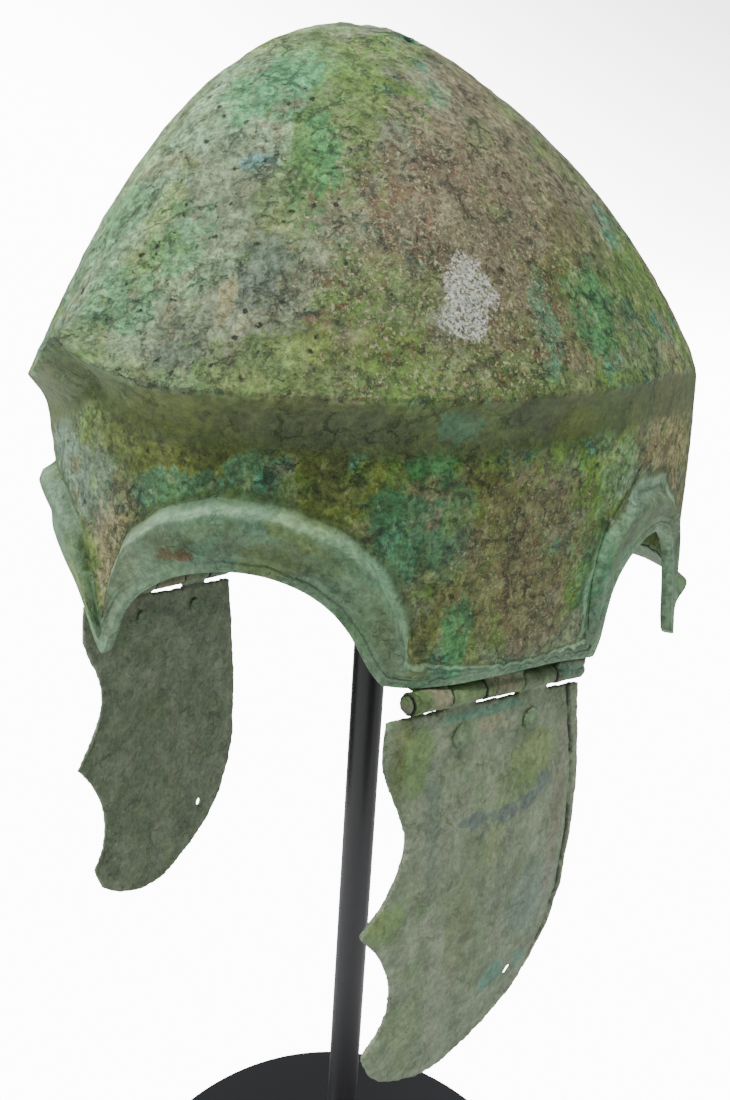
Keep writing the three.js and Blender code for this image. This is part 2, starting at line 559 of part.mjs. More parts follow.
// A rivet with a domed head outside the plate and a flat one behind it.
function rivet(run) {
  const back = CHEEK.hang - CHEEK.thickness - GAP;
  const front = CHEEK.hang + GAP;
  const profile = [
    [0, back - 0.8], [CHEEK.headRadius * 0.8, back - 0.8], [CHEEK.headRadius * 0.8, back],
    [CHEEK.rivetRadius, back], [CHEEK.rivetRadius, front], [CHEEK.headRadius, front],
  ];
  for (let step = 1; step <= 3; step += 1) {
    const a = (step * Math.PI) / 6;
    profile.push([CHEEK.headRadius * Math.cos(a), front + CHEEK.headRise * Math.sin(a)]);
  }
  profile[profile.length - 1][0] = 0;
  const lathe = new THREE.LatheGeometry(profile.map(([r, h]) => new THREE.Vector2(r, h)), 8);
  lathe.applyQuaternion(new THREE.Quaternion().setFromUnitVectors(new THREE.Vector3(0, 1, 0), outward));
  const seat = hingePoint(run, 0, -CHEEK.rivetDrop);
  return geometryOf(solidOf(lathe.translate(seat.x, seat.y, seat.z)));
}

// The pin through all five knuckles, with a low domed head beyond each end.
function hingePin() {
  const [start, end] = [knuckles[0].from - GAP, knuckles[4].to + GAP];
  const [front, rear] = [hingePoint(start, 0, 0), hingePoint(end, 0, 0)];
  const length = front.distanceTo(rear);
  const profile = [
    [0, -1.3], [HINGE.pinHead * 0.72, -0.9], [HINGE.pinHead, 0], [HINGE.pin, 0],
    [HINGE.pin, length], [HINGE.pinHead, length], [HINGE.pinHead * 0.72, length + 0.9], [0, length + 1.3],
  ];
  const lathe = new THREE.LatheGeometry(profile.map(([r, h]) => new THREE.Vector2(r, h)), 8);
  const along = new THREE.Vector3().subVectors(rear, front).normalize();
  lathe.applyQuaternion(new THREE.Quaternion().setFromUnitVectors(new THREE.Vector3(0, 1, 0), along));
  return geometryOf(solidOf(lathe.translate(front.x, front.y, front.z)));
}

// The same geometry with its faces turned the other way round.
function turned(geometry) {
  const flipped = geometry.index ? geometry.clone() : mergeVertices(geometry);
  const index = flipped.index.array;
  for (let i = 0; i < index.length; i += 3) [index[i], index[i + 1]] = [index[i + 1], index[i]];
  return flipped;
}

const mirrored = (geometry) => turned(geometry).scale(-1, 1, 1);

// ---------------------------------------------------------------- the stand

function standDisc() {
  const { discRadius, discHeight, discEdge, discSides } = STAND;
  const profile = [
    [0, 0], [discRadius - discEdge, 0], [discRadius, discEdge], [discRadius, discHeight - discEdge],
    [discRadius - discEdge, discHeight], [0, discHeight],
  ].map(([r, z]) => new THREE.Vector2(r, z));
  return new THREE.LatheGeometry(profile, discSides).rotateX(Math.PI / 2);
}

// The rod, with the rounded pad that carries the bowl from inside.
function standRod() {
  const { rodRadius, padRadius, padHeight, padTop, discHeight, sides } = STAND;
  const profile = [
    [0, discHeight + GAP], [rodRadius, discHeight + GAP], [rodRadius, padTop - padHeight - 5],
    [padRadius * 0.9, padTop - padHeight - 2], [padRadius, padTop - padHeight],
    [padRadius * 0.86, padTop - padHeight * 0.5], [padRadius * 0.5, padTop - padHeight * 0.14], [0, padTop],
  ].map(([r, z]) => new THREE.Vector2(r, z));
  return new THREE.LatheGeometry(profile, sides).rotateX(Math.PI / 2);
}

// ---------------------------------------------------------------- the bowl's holes

function bowlWithHoles() {
  let shell = solidOf(bowlGeometry());
  for (const hole of HOLES) {
    const surface = hole.height > DOME.foot ? domePoint : wallPoint;
    const centre = place(surface(hole.angle, hole.height), hole.height, 0);
    const target = new THREE.Vector3(0, 0, Math.min(hole.height, DOME.foot));
    const along = new THREE.Vector3().subVectors(centre, target).normalize();
    const cutter = new THREE.CylinderGeometry(1, 1, 16, 9);
    cutter.scale(hole.across, 1, hole.up).rotateY(degToRad(hole.turn));
    const sideways = new THREE.Vector3(-along.y, along.x, 0).normalize();
    const upward = new THREE.Vector3().crossVectors(sideways, along);
    cutter.applyMatrix4(new THREE.Matrix4().makeBasis(sideways, along, upward));
    shell = shell.subtract(solidOf(cutter.translate(centre.x, centre.y, centre.z)));
  }
  return geometryOf(shell);
}

// ---------------------------------------------------------------- the assembly

const bronze = new THREE.MeshStandardMaterial({ color: 0x5f7f66, roughness: 0.72, metalness: 0.25 });
const plateBronze = new THREE.MeshStandardMaterial({ color: 0x66725c, roughness: 0.7, metalness: 0.3 });
const hingeBronze = new THREE.MeshStandardMaterial({ color: 0x5a7358, roughness: 0.65, metalness: 0.35 });
const blackSteel = new THREE.MeshStandardMaterial({ color: 0x151517, roughness: 0.45, metalness: 0.4 });

const helmet = new THREE.Group();

function addPart(name, geometry, material) {
  const mesh = new THREE.Mesh(geometry, material);
  mesh.name = name;
  helmet.add(mesh);
}

addPart('bowl', bowlWithHoles(), bronze);
for (const [side, shaped] of [['left', (g) => g], ['right', mirrored]]) {
  addPart(`bowl_hinge_leaf_${side}`, shaped(upperLeaf()), hingeBronze);
  addPart(`hinge_pin_${side}`, shaped(hingePin()), hingeBronze);
  addPart(`cheekpiece_${side}`, shaped(cheekPlate()), plateBronze);
  addPart(`rivet_front_${side}`, shaped(rivet(CHEEK.rivetRuns[0])), plateBronze);
  addPart(`rivet_rear_${side}`, shaped(rivet(CHEEK.rivetRuns[1])), plateBronze);
}
addPart('stand_disc', standDisc(), blackSteel);
addPart('stand_rod', standRod(), blackSteel);

export default helmet;
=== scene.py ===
# %% [markdown]
# # A greek bronze helmet on its stand
# The real object is a helmet beaten from one sheet of bronze, with two cheekpieces on
# hinges, all of it buried for long enough to turn green, teal, olive and brown. The frame
# brings the plain solids. Each metal piece is made again here from a copy of its solid,
# because corroded bronze needs many more faces than the solid has.

# %% Start
import math

import bpy
import bmesh
import numpy as np
from mathutils import Matrix, Vector


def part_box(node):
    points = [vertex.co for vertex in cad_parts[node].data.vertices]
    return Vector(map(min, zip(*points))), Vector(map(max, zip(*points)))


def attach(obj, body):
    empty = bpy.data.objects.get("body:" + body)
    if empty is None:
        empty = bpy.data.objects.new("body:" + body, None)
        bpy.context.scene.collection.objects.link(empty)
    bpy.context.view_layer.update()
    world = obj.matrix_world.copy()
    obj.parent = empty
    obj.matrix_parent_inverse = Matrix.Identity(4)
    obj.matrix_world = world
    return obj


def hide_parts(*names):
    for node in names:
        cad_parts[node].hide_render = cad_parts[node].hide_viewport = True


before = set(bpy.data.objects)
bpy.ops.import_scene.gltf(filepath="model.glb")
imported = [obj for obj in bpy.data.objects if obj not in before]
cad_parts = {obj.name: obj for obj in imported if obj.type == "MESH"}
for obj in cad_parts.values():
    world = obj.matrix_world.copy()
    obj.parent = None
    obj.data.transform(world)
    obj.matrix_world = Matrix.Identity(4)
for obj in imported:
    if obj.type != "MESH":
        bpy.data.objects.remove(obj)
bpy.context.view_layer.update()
MM = 0.001

# %% [markdown]
# Operators work on what is selected, so every step starts by deselecting all and picking
# one object. Modifiers are applied as soon as they are set, so that what follows sees the
# real mesh. A solid comes as loose triangles, so its copy has its doubles merged first.

# %% Small helpers for pieces
MERGE_DISTANCE = 0.02


def pick(piece):
    bpy.ops.object.select_all(action="DESELECT")
    piece.select_set(True)
    bpy.context.view_layer.objects.active = piece


def copy_solid(node, name):
    piece = bpy.data.objects.new(name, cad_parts[node].data.copy())
    bpy.context.scene.collection.objects.link(piece)
    piece.data.materials.clear()
    pick(piece)
    bpy.ops.object.mode_set(mode="EDIT")
    bpy.ops.mesh.select_all(action="SELECT")
    bpy.ops.mesh.remove_doubles(threshold=MERGE_DISTANCE * MM)
    bpy.ops.object.mode_set(mode="OBJECT")
    return piece


def modify(piece, kind, **values):
    pick(piece)
    modifier = piece.modifiers.new(kind.lower(), kind)
    for name, value in values.items():
        setattr(modifier, name, value)
    bpy.ops.object.modifier_apply(modifier=modifier.name)


def triangles(piece):
    return sum(len(polygon.vertices) - 2 for polygon in piece.data.polygons)


# %% [markdown]
# The finish follows the form, so scripts and materials both need to know where a point
# is. Its place is read from the mesh in millimetres, and what is worked out from it is
# kept as an attribute that the material reads. Tables hold what was measured on the
# object: one row for one place, with the columns named once above the rows.

# %% Small helpers for places
def read_vectors(piece, name):
    values = np.empty(3 * len(piece.data.vertices))
    piece.data.vertices.foreach_get(name, values)
    return values.reshape(-1, 3)


def coordinates(piece):
    return read_vectors(piece, "co") / MM


def move_to(piece, places):
    piece.data.vertices.foreach_set("co", (places * MM).ravel())
    piece.data.update()


def mark(piece, name, values):
    layer = piece.data.attributes.get(name) or piece.data.attributes.new(name, "FLOAT", "POINT")
    layer.data.foreach_set("value", np.asarray(values, dtype=np.float32))


def table(columns, *rows):
    return [dict(zip(columns.split(), row)) for row in rows]


def column(rows, name):
    return [row[name] for row in rows]


def smooth(low, high, value):
    t = np.clip((value - low) / (high - low), 0, 1)
    return t * t * (3 - 2 * t)


# %% [markdown]
# ## Lumps in the metal
# Corrosion swells the surface in soft lumps and eats small hollows in it. The Displace
# modifier moves each point along its normal by a cloud texture. A cloud's size is set in
# metres, and several sizes together look like real corrosion.

# %% Lumps
def lumps(piece, name, size, height, depth=2, group=""):
    cloud = bpy.data.textures.new(name, "CLOUDS")
    cloud.noise_scale = size * MM
    cloud.noise_depth = depth
    modify(piece, "DISPLACE", texture=cloud, texture_coords="LOCAL", direction="NORMAL",
           strength=height * MM, mid_level=0.5, vertex_group=group)


# %% [markdown]
# ## The bowl
# The bowl's solid has large flat faces. Subdivision Surface bends them into the smooth
# beaten form, and creased edges keep the ridge, the step round each opening and the
# openings' edges crisp. Creases are set in code, by the angle between two faces.

# %% Bowl: smooth form
QUAD_FOLD, QUAD_SKEW, CREASE_FROM = (math.radians(angle) for angle in (30, 50, 34))
CREASE_STRENGTH = 0.55
bowl = copy_solid("bowl", "bowl_bronze_skin")
bpy.ops.object.mode_set(mode="EDIT")
bpy.ops.mesh.select_all(action="SELECT")
bpy.ops.mesh.tris_convert_to_quads(face_threshold=QUAD_FOLD, shape_threshold=QUAD_SKEW)
bpy.ops.object.mode_set(mode="OBJECT")
shape = bmesh.new()
shape.from_mesh(bowl.data)
crease = (shape.edges.layers.float.get("crease_edge")
          or shape.edges.layers.float.new("crease_edge"))
for edge in shape.edges:
    if len(edge.link_faces) == 2 and edge.calc_face_angle() > CREASE_FROM:
        edge[crease] = CREASE_STRENGTH
shape.to_mesh(bowl.data)
shape.free()
modify(bowl, "SUBSURF", levels=2, render_levels=2)
print("bowl triangles:", triangles(bowl))

# %% [markdown]
# ## The bowl's lines
# Three tables give the bowl's form: its wall's outline at four heights, the edge of its
# openings with the step that runs beside it, and its ridge. "edge", "step" and "around"
# are degrees round the bowl from the nose towards the wearer's left, and heights are
# above the table. The other half mirrors this one.

# %% Bowl: tables
WALL_SECTIONS = table(
    "height front rear side_front side_rear",
    (296, 112.6, 118.0, 80.5, 94.5),
    (322, 112.8, 116.8, 84.5, 93.5),
    (345, 113.0, 117.5, 88.0, 92.3),
    (372, 114.4, 119.5, 90.5, 91.0),
)
RIM_LINE = table(
    "edge edge_height step step_height",
    (0, 304.8, 0, 309.5),
    (3.8, 313.8, 1.9, 317.5),
    (6.7, 320.4, 3.2, 326),
    (11.4, 325.6, 6.6, 337.5),
    (17.3, 330.0, 13.5, 345),
    (23.5, 332.0, 21, 348.8),
    (29.5, 331.6, 29, 348.4),
    (35.2, 328.2, 36.8, 344.4),
    (39.4, 322.8, 42.8, 337.6),
    (42.6, 315.8, 47.2, 327.6),
    (45.2, 307.8, 50, 316.8),
    (47.4, 303.6, 51.8, 309.6),
    (51, 302, 54.2, 306.6),
    (66, 301.5, 66.3, 305.4),
    (84.4, 299.9, 82.4, 304.4),
    (88.2, 299.2, 84.8, 305.4),
    (88.7, 312.2, 83.8, 318),
    (88.9, 320.6, 82.6, 329),
    (90.2, 327.8, 82.9, 338.8),
    (92.6, 333.6, 86.2, 346.2),
    (95.8, 336.2, 91.8, 349.8),
    (99.4, 334.6, 98.8, 346.6),
    (102.4, 328.6, 104, 337.6),
    (104.4, 318.6, 107.6, 324.6),
    (105.4, 307.4, 109, 311.8),
    (110, 295.6, 112.4, 301.8),
    (120.6, 302.4, 121.2, 309.6),
    (129, 307.4, 129.2, 316.6),
    (161, 307.8, 161, 317),
    (180, 307.6, 180, 316.8),
)
RIDGE_LINE = table(
    "around height",
    (0, 381.5), (4, 376.6), (9, 373.4), (14.5, 372.0), (29, 371.8), (49, 373.4),
    (71, 377.2), (95, 382.0), (125, 384.5), (150, 384.0), (180, 383.0),
)
FRONT_PLAN, REAR_PLAN = 1.95, 2.5
EAR_FROM, EAR_TO = 78, 110
print("rim rows:", len(RIM_LINE), "ridge rows:", len(RIDGE_LINE))

# %% [markdown]
# ## Where things are on the bowl
# The band round the openings is smoother than the wall, and the groove under the ridge
# is painted dark: partly its own olive crust, partly painted shade under the ridge. So
# each point gets three values: how far it is across the band, from 0 at the opening's
# edge to 1 at the step, how far from the edge in millimetres, and how high above the
# ridge. In plan the wall is a superellipse, blunter behind than in front.

# %% Bowl: marks
LINE_PARTS = 6
FAR_AWAY, WIDEST_BAND = 1e9, 4


def wall_place(angle, height):
    size = {key: np.interp(height, column(WALL_SECTIONS, "height"), column(WALL_SECTIONS, key))
            for key in ("front", "rear", "side_front", "side_rear")}
    widening = smooth(EAR_FROM, EAR_TO, angle) * (size["side_rear"] - size["side_front"])
    turn = math.radians(angle)
    ahead = math.cos(turn) > 0
    plan, length = (FRONT_PLAN, size["front"]) if ahead else (REAR_PLAN, size["rear"])
    x = (size["side_front"] + widening) * abs(math.sin(turn)) ** (2 / plan)
    y = -length * math.copysign(abs(math.cos(turn)) ** (2 / plan), math.cos(turn))
    return np.array([x, y, height])


def rim_points(name):
    places = np.array([wall_place(row[name], row[f"{name}_height"]) for row in RIM_LINE])
    shares = np.arange(0, len(places) - 1 + 1e-9, 1 / LINE_PARTS)
    return np.stack([np.interp(shares, range(len(places)), axis) for axis in places.T], axis=1)


def across_band(places):
    half = np.column_stack([np.abs(places[:, 0]), places[:, 1:]])
    nearest = np.full(len(half), FAR_AWAY)
    width = np.ones(len(half))
    for edge_point, step_point in zip(rim_points("edge"), rim_points("step")):
        away = np.linalg.norm(half - edge_point, axis=1)
        closer = away < nearest
        nearest[closer] = away[closer]
        width[closer] = np.linalg.norm(edge_point - step_point)
    return np.clip(nearest / width, 0, WIDEST_BAND), nearest


places = coordinates(bowl)
bearing = np.abs(np.degrees(np.arctan2(places[:, 0], -places[:, 1])))
ridge = np.interp(bearing, column(RIDGE_LINE, "around"), column(RIDGE_LINE, "height"))
over_ridge = places[:, 2] - ridge
band, from_edge = across_band(places)
mark(bowl, "over_ridge", over_ridge)
mark(bowl, "band", band)
mark(bowl, "from_edge", from_edge)
print("points on the band:", int((band < 1).sum()), "of", len(band))

# %% [markdown]
# ## Weathering the bowl's surface
# The plain wall and dome are smoothed a little first, so that no flat face of the solid
# shows, then three sizes of lump are pushed into them. The band round the openings and
# the groove are sound metal. Vertex groups keep most of the lumps off them, with weights
# in tenths, because a group takes one weight for many points at once.

# %% Bowl: lumps
GROOVE_DEEP, SOUND_SHARE, WEIGHT_STEPS = 12, 0.25, 10
off_groove = smooth(0, 8, np.maximum(over_ridge, -over_ridge - GROOVE_DEEP))
bowl_weights = {
    "plain": smooth(0.9, 1.5, band) * smooth(2, 9, np.abs(over_ridge + 1)),
    "rough": SOUND_SHARE + (1 - SOUND_SHARE) * smooth(0.8, 1.4, band) * off_groove,
}
for name, weights in bowl_weights.items():
    group = bowl.vertex_groups.new(name=name)
    for level in range(WEIGHT_STEPS + 1):
        points = np.nonzero(np.round(weights * WEIGHT_STEPS) == level)[0]
        group.add([int(point) for point in points], level / WEIGHT_STEPS, "REPLACE")
modify(bowl, "SMOOTH", factor=0.5, iterations=8, vertex_group="plain")
lumps(bowl, "beaten_waves", size=34, height=1.5, group="plain")
lumps(bowl, "corrosion_lumps", size=9, height=1.2, depth=3, group="rough")
lumps(bowl, "corrosion_grains", size=3.2, height=0.8, depth=3, group="rough")
pick(bowl)
bpy.ops.object.shade_smooth()
print("bowl box in mm:", coordinates(bowl).min(axis=0), coordinates(bowl).max(axis=0))

# %% [markdown]
# ## Skins for the cheekpieces, hinges and rivets
# Their solids were cut and joined, so their faces are uneven. A voxel remesh gives them
# an even skin, like a casting taken off them, and rounds every worn edge a little.

# %% Cast skins
def cast(node, name, voxel, smoothing=3):
    piece = copy_solid(node, name)
    modify(piece, "REMESH", mode="VOXEL", voxel_size=voxel * MM)
    modify(piece, "SMOOTH", factor=0.5, iterations=smoothing)
    pick(piece)
    bpy.ops.object.shade_smooth()
    return piece


# %% [markdown]
# ## Where things are on a cheekpiece
# A cheekpiece is charted along its hinge ("run") and down from it ("drop"), in
# millimetres. The hinge leans and turns a little, so the chart follows the line between
# the hinge's two ends. The knuckles are painted darker near each joint between two of
# them, so the distance to the nearest joint is kept too.

# %% Hinge chart
HINGE_FRONT, HINGE_REAR = np.array([64.6, -71.4, 298.55]), np.array([79.6, 7.0, 292.75])
HINGE_JOINTS = (0.012, 0.186, 0.352, 0.558, 0.749, 0.920)
KNUCKLE_RADIUS, OFF_BARREL = 3.05, 9
hinge_level = (HINGE_REAR - HINGE_FRONT) * (1, 1, 0)
hinge_run = np.linalg.norm(hinge_level)
hinge_level = hinge_level / hinge_run
hinge_outward = np.array([hinge_level[1], -hinge_level[0], 0])
front_run = HINGE_FRONT[1] / hinge_level[1]
hinge_joints = front_run + np.array(HINGE_JOINTS) * hinge_run


def hinge_chart(piece):
    places = coordinates(piece)
    places[:, 0] = np.abs(places[:, 0])
    share = (places - HINGE_FRONT) @ hinge_level / hinge_run
    out = (places - HINGE_FRONT) @ hinge_outward
    run = front_run + share * hinge_run
    drop = HINGE_FRONT[2] + share * (HINGE_REAR[2] - HINGE_FRONT[2]) - places[:, 2]
    on_barrel = np.hypot(out, drop) < KNUCKLE_RADIUS + 0.5
    to_joint = np.min(np.abs(run[:, None] - hinge_joints), axis=1)
    mark(piece, "run", run)
    mark(piece, "drop", drop)
    mark(piece, "to_joint", np.where(on_barrel, to_joint, OFF_BARREL))
    mark(piece, "outer", np.ones(len(run)))
    return run, drop


print("hinge runs from", front_run, "to", front_run + hinge_run)

# %% [markdown]
# ## The cheekpiece's top and its border line
# Worn knuckles let the plate sit closer under them than its solid does, so its top edge
# is raised, and the raise fades out below it and stops at the knuckles' feet. Along the
# rear edge the smith cut a line, and the strip outside that line stands a little proud.
# Both are real relief: points on the outer face are moved along their normals.

# %% Top edge and border line
BORDER = table("drop from_edge", (5, 5.4), (30, 4.0), (60, 3.3), (100, 2.6))
STRIP_RISE, LINE_DEPTH = 0.45, 0.5
BARREL_FOOT, TOP_DROP, TOP_RISE, TOP_FADE = 3.2, 4.4, 0.7, 14


def raise_top(piece):
    run, drop = hinge_chart(piece)
    edge = TOP_DROP + np.clip((run - front_run) / hinge_run, 0, 1)
    above = (drop - BARREL_FOOT) / (edge - BARREL_FOOT)
    below = (TOP_FADE - drop) / (TOP_FADE - edge)
    places = coordinates(piece)
    places[:, 2] += TOP_RISE * np.maximum(np.minimum(above, below), 0)
    move_to(piece, places)


def distance_from_rear(run, drop):
    from_rear = np.full(len(run), FAR_AWAY)
    for level in np.arange(6, 122, 0.5):
        rear = run[np.abs(drop - level) < 0.5].max()
        from_rear = np.minimum(from_rear, np.hypot(run - rear, drop - level))
    return from_rear


def mark_border(piece):
    run, drop = hinge_chart(piece)
    places, normals = coordinates(piece), read_vectors(piece, "normal")
    outer = smooth(0.3, 0.8, np.abs(normals[:, 0])) * (normals[:, 0] * places[:, 0] > 0)
    from_rear = distance_from_rear(run, drop)
    past_line = from_rear - np.interp(drop, column(BORDER, "drop"), column(BORDER, "from_edge"))
    strip = smooth(0, -0.9, past_line) * smooth(0, 1.2, from_rear) * smooth(100, 90, drop)
    line = smooth(0.9, 0.2, np.abs(past_line)) * smooth(104, 92, drop)
    mark(piece, "border", line * (outer > 0.2))
    mark(piece, "outer", np.maximum(outer, drop < BARREL_FOOT))
    move = (strip * STRIP_RISE - line * LINE_DEPTH) * outer
    move_to(piece, places + normals * move[:, None])


# %% [markdown]
# ## Cheekpieces, knuckles, pins and rivets
# Each side has one plate with two of the knuckles, three knuckles that belong to the
# bowl, one pin and two rivets. All of them get a skin, their marks and their own lumps.
# Small pieces get a finer skin. Each row that is kept says which node the piece stands
# for, which body carries it and which material slot it fills.

# %% Both sides
side_pieces = []
for side in ("left", "right"):
    plate = cast(f"cheekpiece_{side}", f"cheekpiece_skin_{side}", voxel=0.6)
    raise_top(plate)
    mark_border(plate)
    lumps(plate, f"plate_waves_{side}", size=16, height=1.0)
    lumps(plate, f"plate_grains_{side}", size=3.0, height=0.45, depth=3)
    leaf = cast(f"bowl_hinge_leaf_{side}", f"hinge_knuckles_{side}", voxel=0.4, smoothing=2)
    hinge_chart(leaf)
    lumps(leaf, f"knuckle_lumps_{side}", size=5, height=0.6, depth=3)
    pin = cast(f"hinge_pin_{side}", f"hinge_pin_skin_{side}", voxel=0.25)
    hinge_chart(pin)
    cheek = f"cheek_{side}"
    side_pieces += [(plate, f"cheekpiece_{side}", cheek, "cheek_bronze"),
                    (leaf, f"bowl_hinge_leaf_{side}", "helmet", "hinge_bronze"),
                    (pin, f"hinge_pin_{side}", "helmet", "hinge_bronze")]
    for place in ("front", "rear"):
        node = f"rivet_{place}_{side}"
        rivet = cast(node, f"rivet_skin_{place}_{side}", voxel=0.3, smoothing=6)
        hinge_chart(rivet)
        lumps(rivet, f"rivet_lumps_{place}_{side}", size=3.5, height=0.7)
        side_pieces.append((rivet, node, cheek, "hinge_bronze"))
for piece, *_ in side_pieces:
    print(piece.name, "triangles:", triangles(piece))

# %% [markdown]
# ## The stand
# A turned steel disc and a round bar. A cylinder with many sides is bevelled at its rims,
# so that a thin line of light runs round them as on the real disc. The bar's end is
# hidden under the crown, so its rim is bevelled more, as a rounded pad.

# %% Stand
DISC_RADIUS, DISC_HEIGHT, ROD_RADIUS, GAP = 100, 6, 6, 0.3
PAD_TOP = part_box("stand_rod")[1][2] / MM
SHARP_FROM = math.radians(40)


def turned(name, radius, low, high, bevel, sides):
    bpy.ops.object.select_all(action="DESELECT")
    bpy.ops.mesh.primitive_cylinder_add(
        vertices=sides, radius=radius * MM, depth=(high - low) * MM,
        location=(0, 0, (low + high) / 2 * MM))
    piece = bpy.context.object
    piece.name = name
    bpy.ops.object.transform_apply(location=True)
    modify(piece, "BEVEL", width=bevel * MM, segments=3, limit_method="ANGLE",
           angle_limit=SHARP_FROM)
    bpy.ops.object.shade_smooth_by_angle(angle=SHARP_FROM)
    print(name, "triangles:", triangles(piece))
    return piece


stand_disc = turned("stand_disc_turned", DISC_RADIUS, 0, DISC_HEIGHT, bevel=0.9, sides=160)
stand_rod = turned("stand_rod_turned", ROD_RADIUS, DISC_HEIGHT + GAP, PAD_TOP - 0.5,
                   bevel=2.4, sides=64)

# %% [markdown]
# ## Nodes for finishes
# A material is a net of small steps. These helpers add one step each, so that a finish
# reads as a short list. An input is either a plain value or another step's output.

# %% Node helpers
def step(tree, kind, inputs=None, **settings):
    node = tree.nodes.new(kind)
    for name, value in settings.items():
        setattr(node, name, value)
    for key, value in (inputs or {}).items():
        if isinstance(value, bpy.types.NodeSocket):
            tree.links.new(value, node.inputs[key])
        else:
            node.inputs[key].default_value = value
    return node


def calc(tree, operation, a, b=0.0):
    return step(tree, "ShaderNodeMath", {0: a, 1: b}, operation=operation).outputs[0]


def times(tree, first, *others):
    for value in others:
        first = calc(tree, "MULTIPLY", first, value)
    return first


def plus(tree, first, second, share=1.0):
    if share != 1.0:
        second = calc(tree, "MULTIPLY", second, share)
    return calc(tree, "ADD", first, second)


def minus(tree, first, second, share=1.0):
    if share != 1.0:
        second = calc(tree, "MULTIPLY", second, share)
    return calc(tree, "SUBTRACT", first, second)


def between(tree, value, low, high):
    limits = {"Value": value, "From Min": low, "From Max": high}
    node = step(tree, "ShaderNodeMapRange", limits, interpolation_type="SMOOTHSTEP")
    return node.outputs["Result"]


def ring(tree, value, centre, outside, inside):
    return between(tree, calc(tree, "ABSOLUTE", minus(tree, value, centre)), outside, inside)


def blend(tree, share, under, over, way="MIX"):
    # 0, 6 and 7 are the share and the two colours of a Mix node set to colour
    return step(tree, "ShaderNodeMix", {0: share, 6: under, 7: over},
                data_type="RGBA", blend_type=way).outputs[2]


# %% [markdown]
# Noise makes everything uneven here. Each noise is a row of a table: how fine it is, its
# number of octaves, how strong the small ones are and how much it is bent. Where two
# more columns give limits, the noise is cut between them into clouds with borders.

# %% Noise and groups
NOISE = "name scale detail roughness distortion"
CLOUDS = NOISE + " low high"


def noise(tree, place, row):
    return step(tree, "ShaderNodeTexNoise", {
        "Vector": place, "Scale": row["scale"], "Detail": row["detail"],
        "Roughness": row["roughness"], "Distortion": row["distortion"]}).outputs["Fac"]


def noises(tree, place, rows):
    return {row["name"]: noise(tree, place, row) for row in rows}


def clouds(tree, place, rows):
    return {row["name"]: between(tree, noise(tree, place, row), row["low"], row["high"])
            for row in rows}


def group_tree(name, inputs, outputs):
    tree = bpy.data.node_groups.new(name, "ShaderNodeTree")
    for way, labels in (("INPUT", inputs), ("OUTPUT", outputs)):
        for label in labels.split(", "):
            kind = "NodeSocketVector" if label == "Place" else "NodeSocketFloat"
            tree.interface.new_socket(name=label, in_out=way, socket_type=kind)
    return tree, tree.nodes.new("NodeGroupInput").outputs, tree.nodes.new("NodeGroupOutput").inputs


def finish_group(tree, result, values):
    for label, value in values.items():
        tree.links.new(value, result[label])
    print(tree.name, "nodes:", len(tree.nodes))


# %% [markdown]
# ## Colours of old bronze
# Copper minerals give the greens, iron and soil the browns. The colours are linear, as
# Blender takes them.

# %% Palette
PALETTE = {
    "pale_teal": (0.27, 0.43, 0.29, 1), "emerald": (0.06, 0.32, 0.15, 1),
    "teal": (0.11, 0.29, 0.20, 1), "leaf": (0.15, 0.26, 0.075, 1),
    "olive": (0.125, 0.155, 0.04, 1), "yellow_green": (0.22, 0.29, 0.09, 1),
    "grey": (0.20, 0.24, 0.17, 1), "mauve": (0.23, 0.20, 0.145, 1),
    "rust": (0.16, 0.075, 0.04, 1), "cream": (0.60, 0.60, 0.36, 1),
    "blue_grey": (0.19, 0.29, 0.24, 1), "tan": (0.38, 0.34, 0.20, 1),
    "pit": (0.02, 0.025, 0.016, 1), "moss": (0.085, 0.115, 0.04, 1),
    "rim": (0.16, 0.27, 0.18, 1), "soil": (0.15, 0.13, 0.08, 1),
    # the near white serves a pale fleck on the wall and the painted highlight high on the dome
    "bright_crust": (0.80, 0.82, 0.74, 1), "pale_crust": (0.42, 0.46, 0.28, 1),
    "slate": (0.125, 0.175, 0.155, 1), "sky": (0.22, 0.42, 0.40, 1),
    "deep_green": (0.05, 0.18, 0.105, 1), "shadow": (0.062, 0.078, 0.04, 1),
}


def paint(tree, colour, name, *shares):
    return blend(tree, times(tree, *shares), colour, PALETTE[name])


# %% [markdown]
# ## A patch of patina
# Patina lies in patches with ragged borders. This group answers how much a point belongs
# to one patch. The patch is given by its place round the bowl in degrees and its height
# in millimetres, with its half sizes. A shared noise makes the border ragged.

# %% Patch group
BORDER_OUT, BORDER_IN = 1.05, 0.72
patch_group, given, result = group_tree(
    "patina_patch", "Around, Height, Ragged, At Around, At Height, Wide, Tall, Strength", "Mask")
wide, tall = (
    calc(patch_group, "DIVIDE", minus(patch_group, given[name], given["At " + name]), given[size])
    for name, size in (("Around", "Wide"), ("Height", "Tall")))
away = plus(patch_group, times(patch_group, wide, wide), times(patch_group, tall, tall))
away = plus(patch_group, away, given["Ragged"])
mask = between(patch_group, away, BORDER_OUT, BORDER_IN)
finish_group(patch_group, result, {"Mask": times(patch_group, mask, given["Strength"])})


def patch(tree, chart, ragged, row):
    (across, across_value), (up, up_value) = chart.items()
    return step(tree, "ShaderNodeGroup", {
        "Around": across_value, "Height": up_value, "Ragged": ragged, "At Around": row[across],
        "At Height": row[up], "Wide": row["wide"], "Tall": row["tall"],
        "Strength": row["strength"]}, node_tree=patch_group).outputs["Mask"]


# %% [markdown]
# ## The grain of corrosion
# Seen close, the surface is a crust of grains with dark pits, hairline cracks and pale
# flecks. One group makes all of it from noises of several sizes, so that every bronze
# piece shares it. Pits come from Voronoi cells: a cell has a pit only where its own
# random value is high. Cracks run along the borders of bent Voronoi cells.

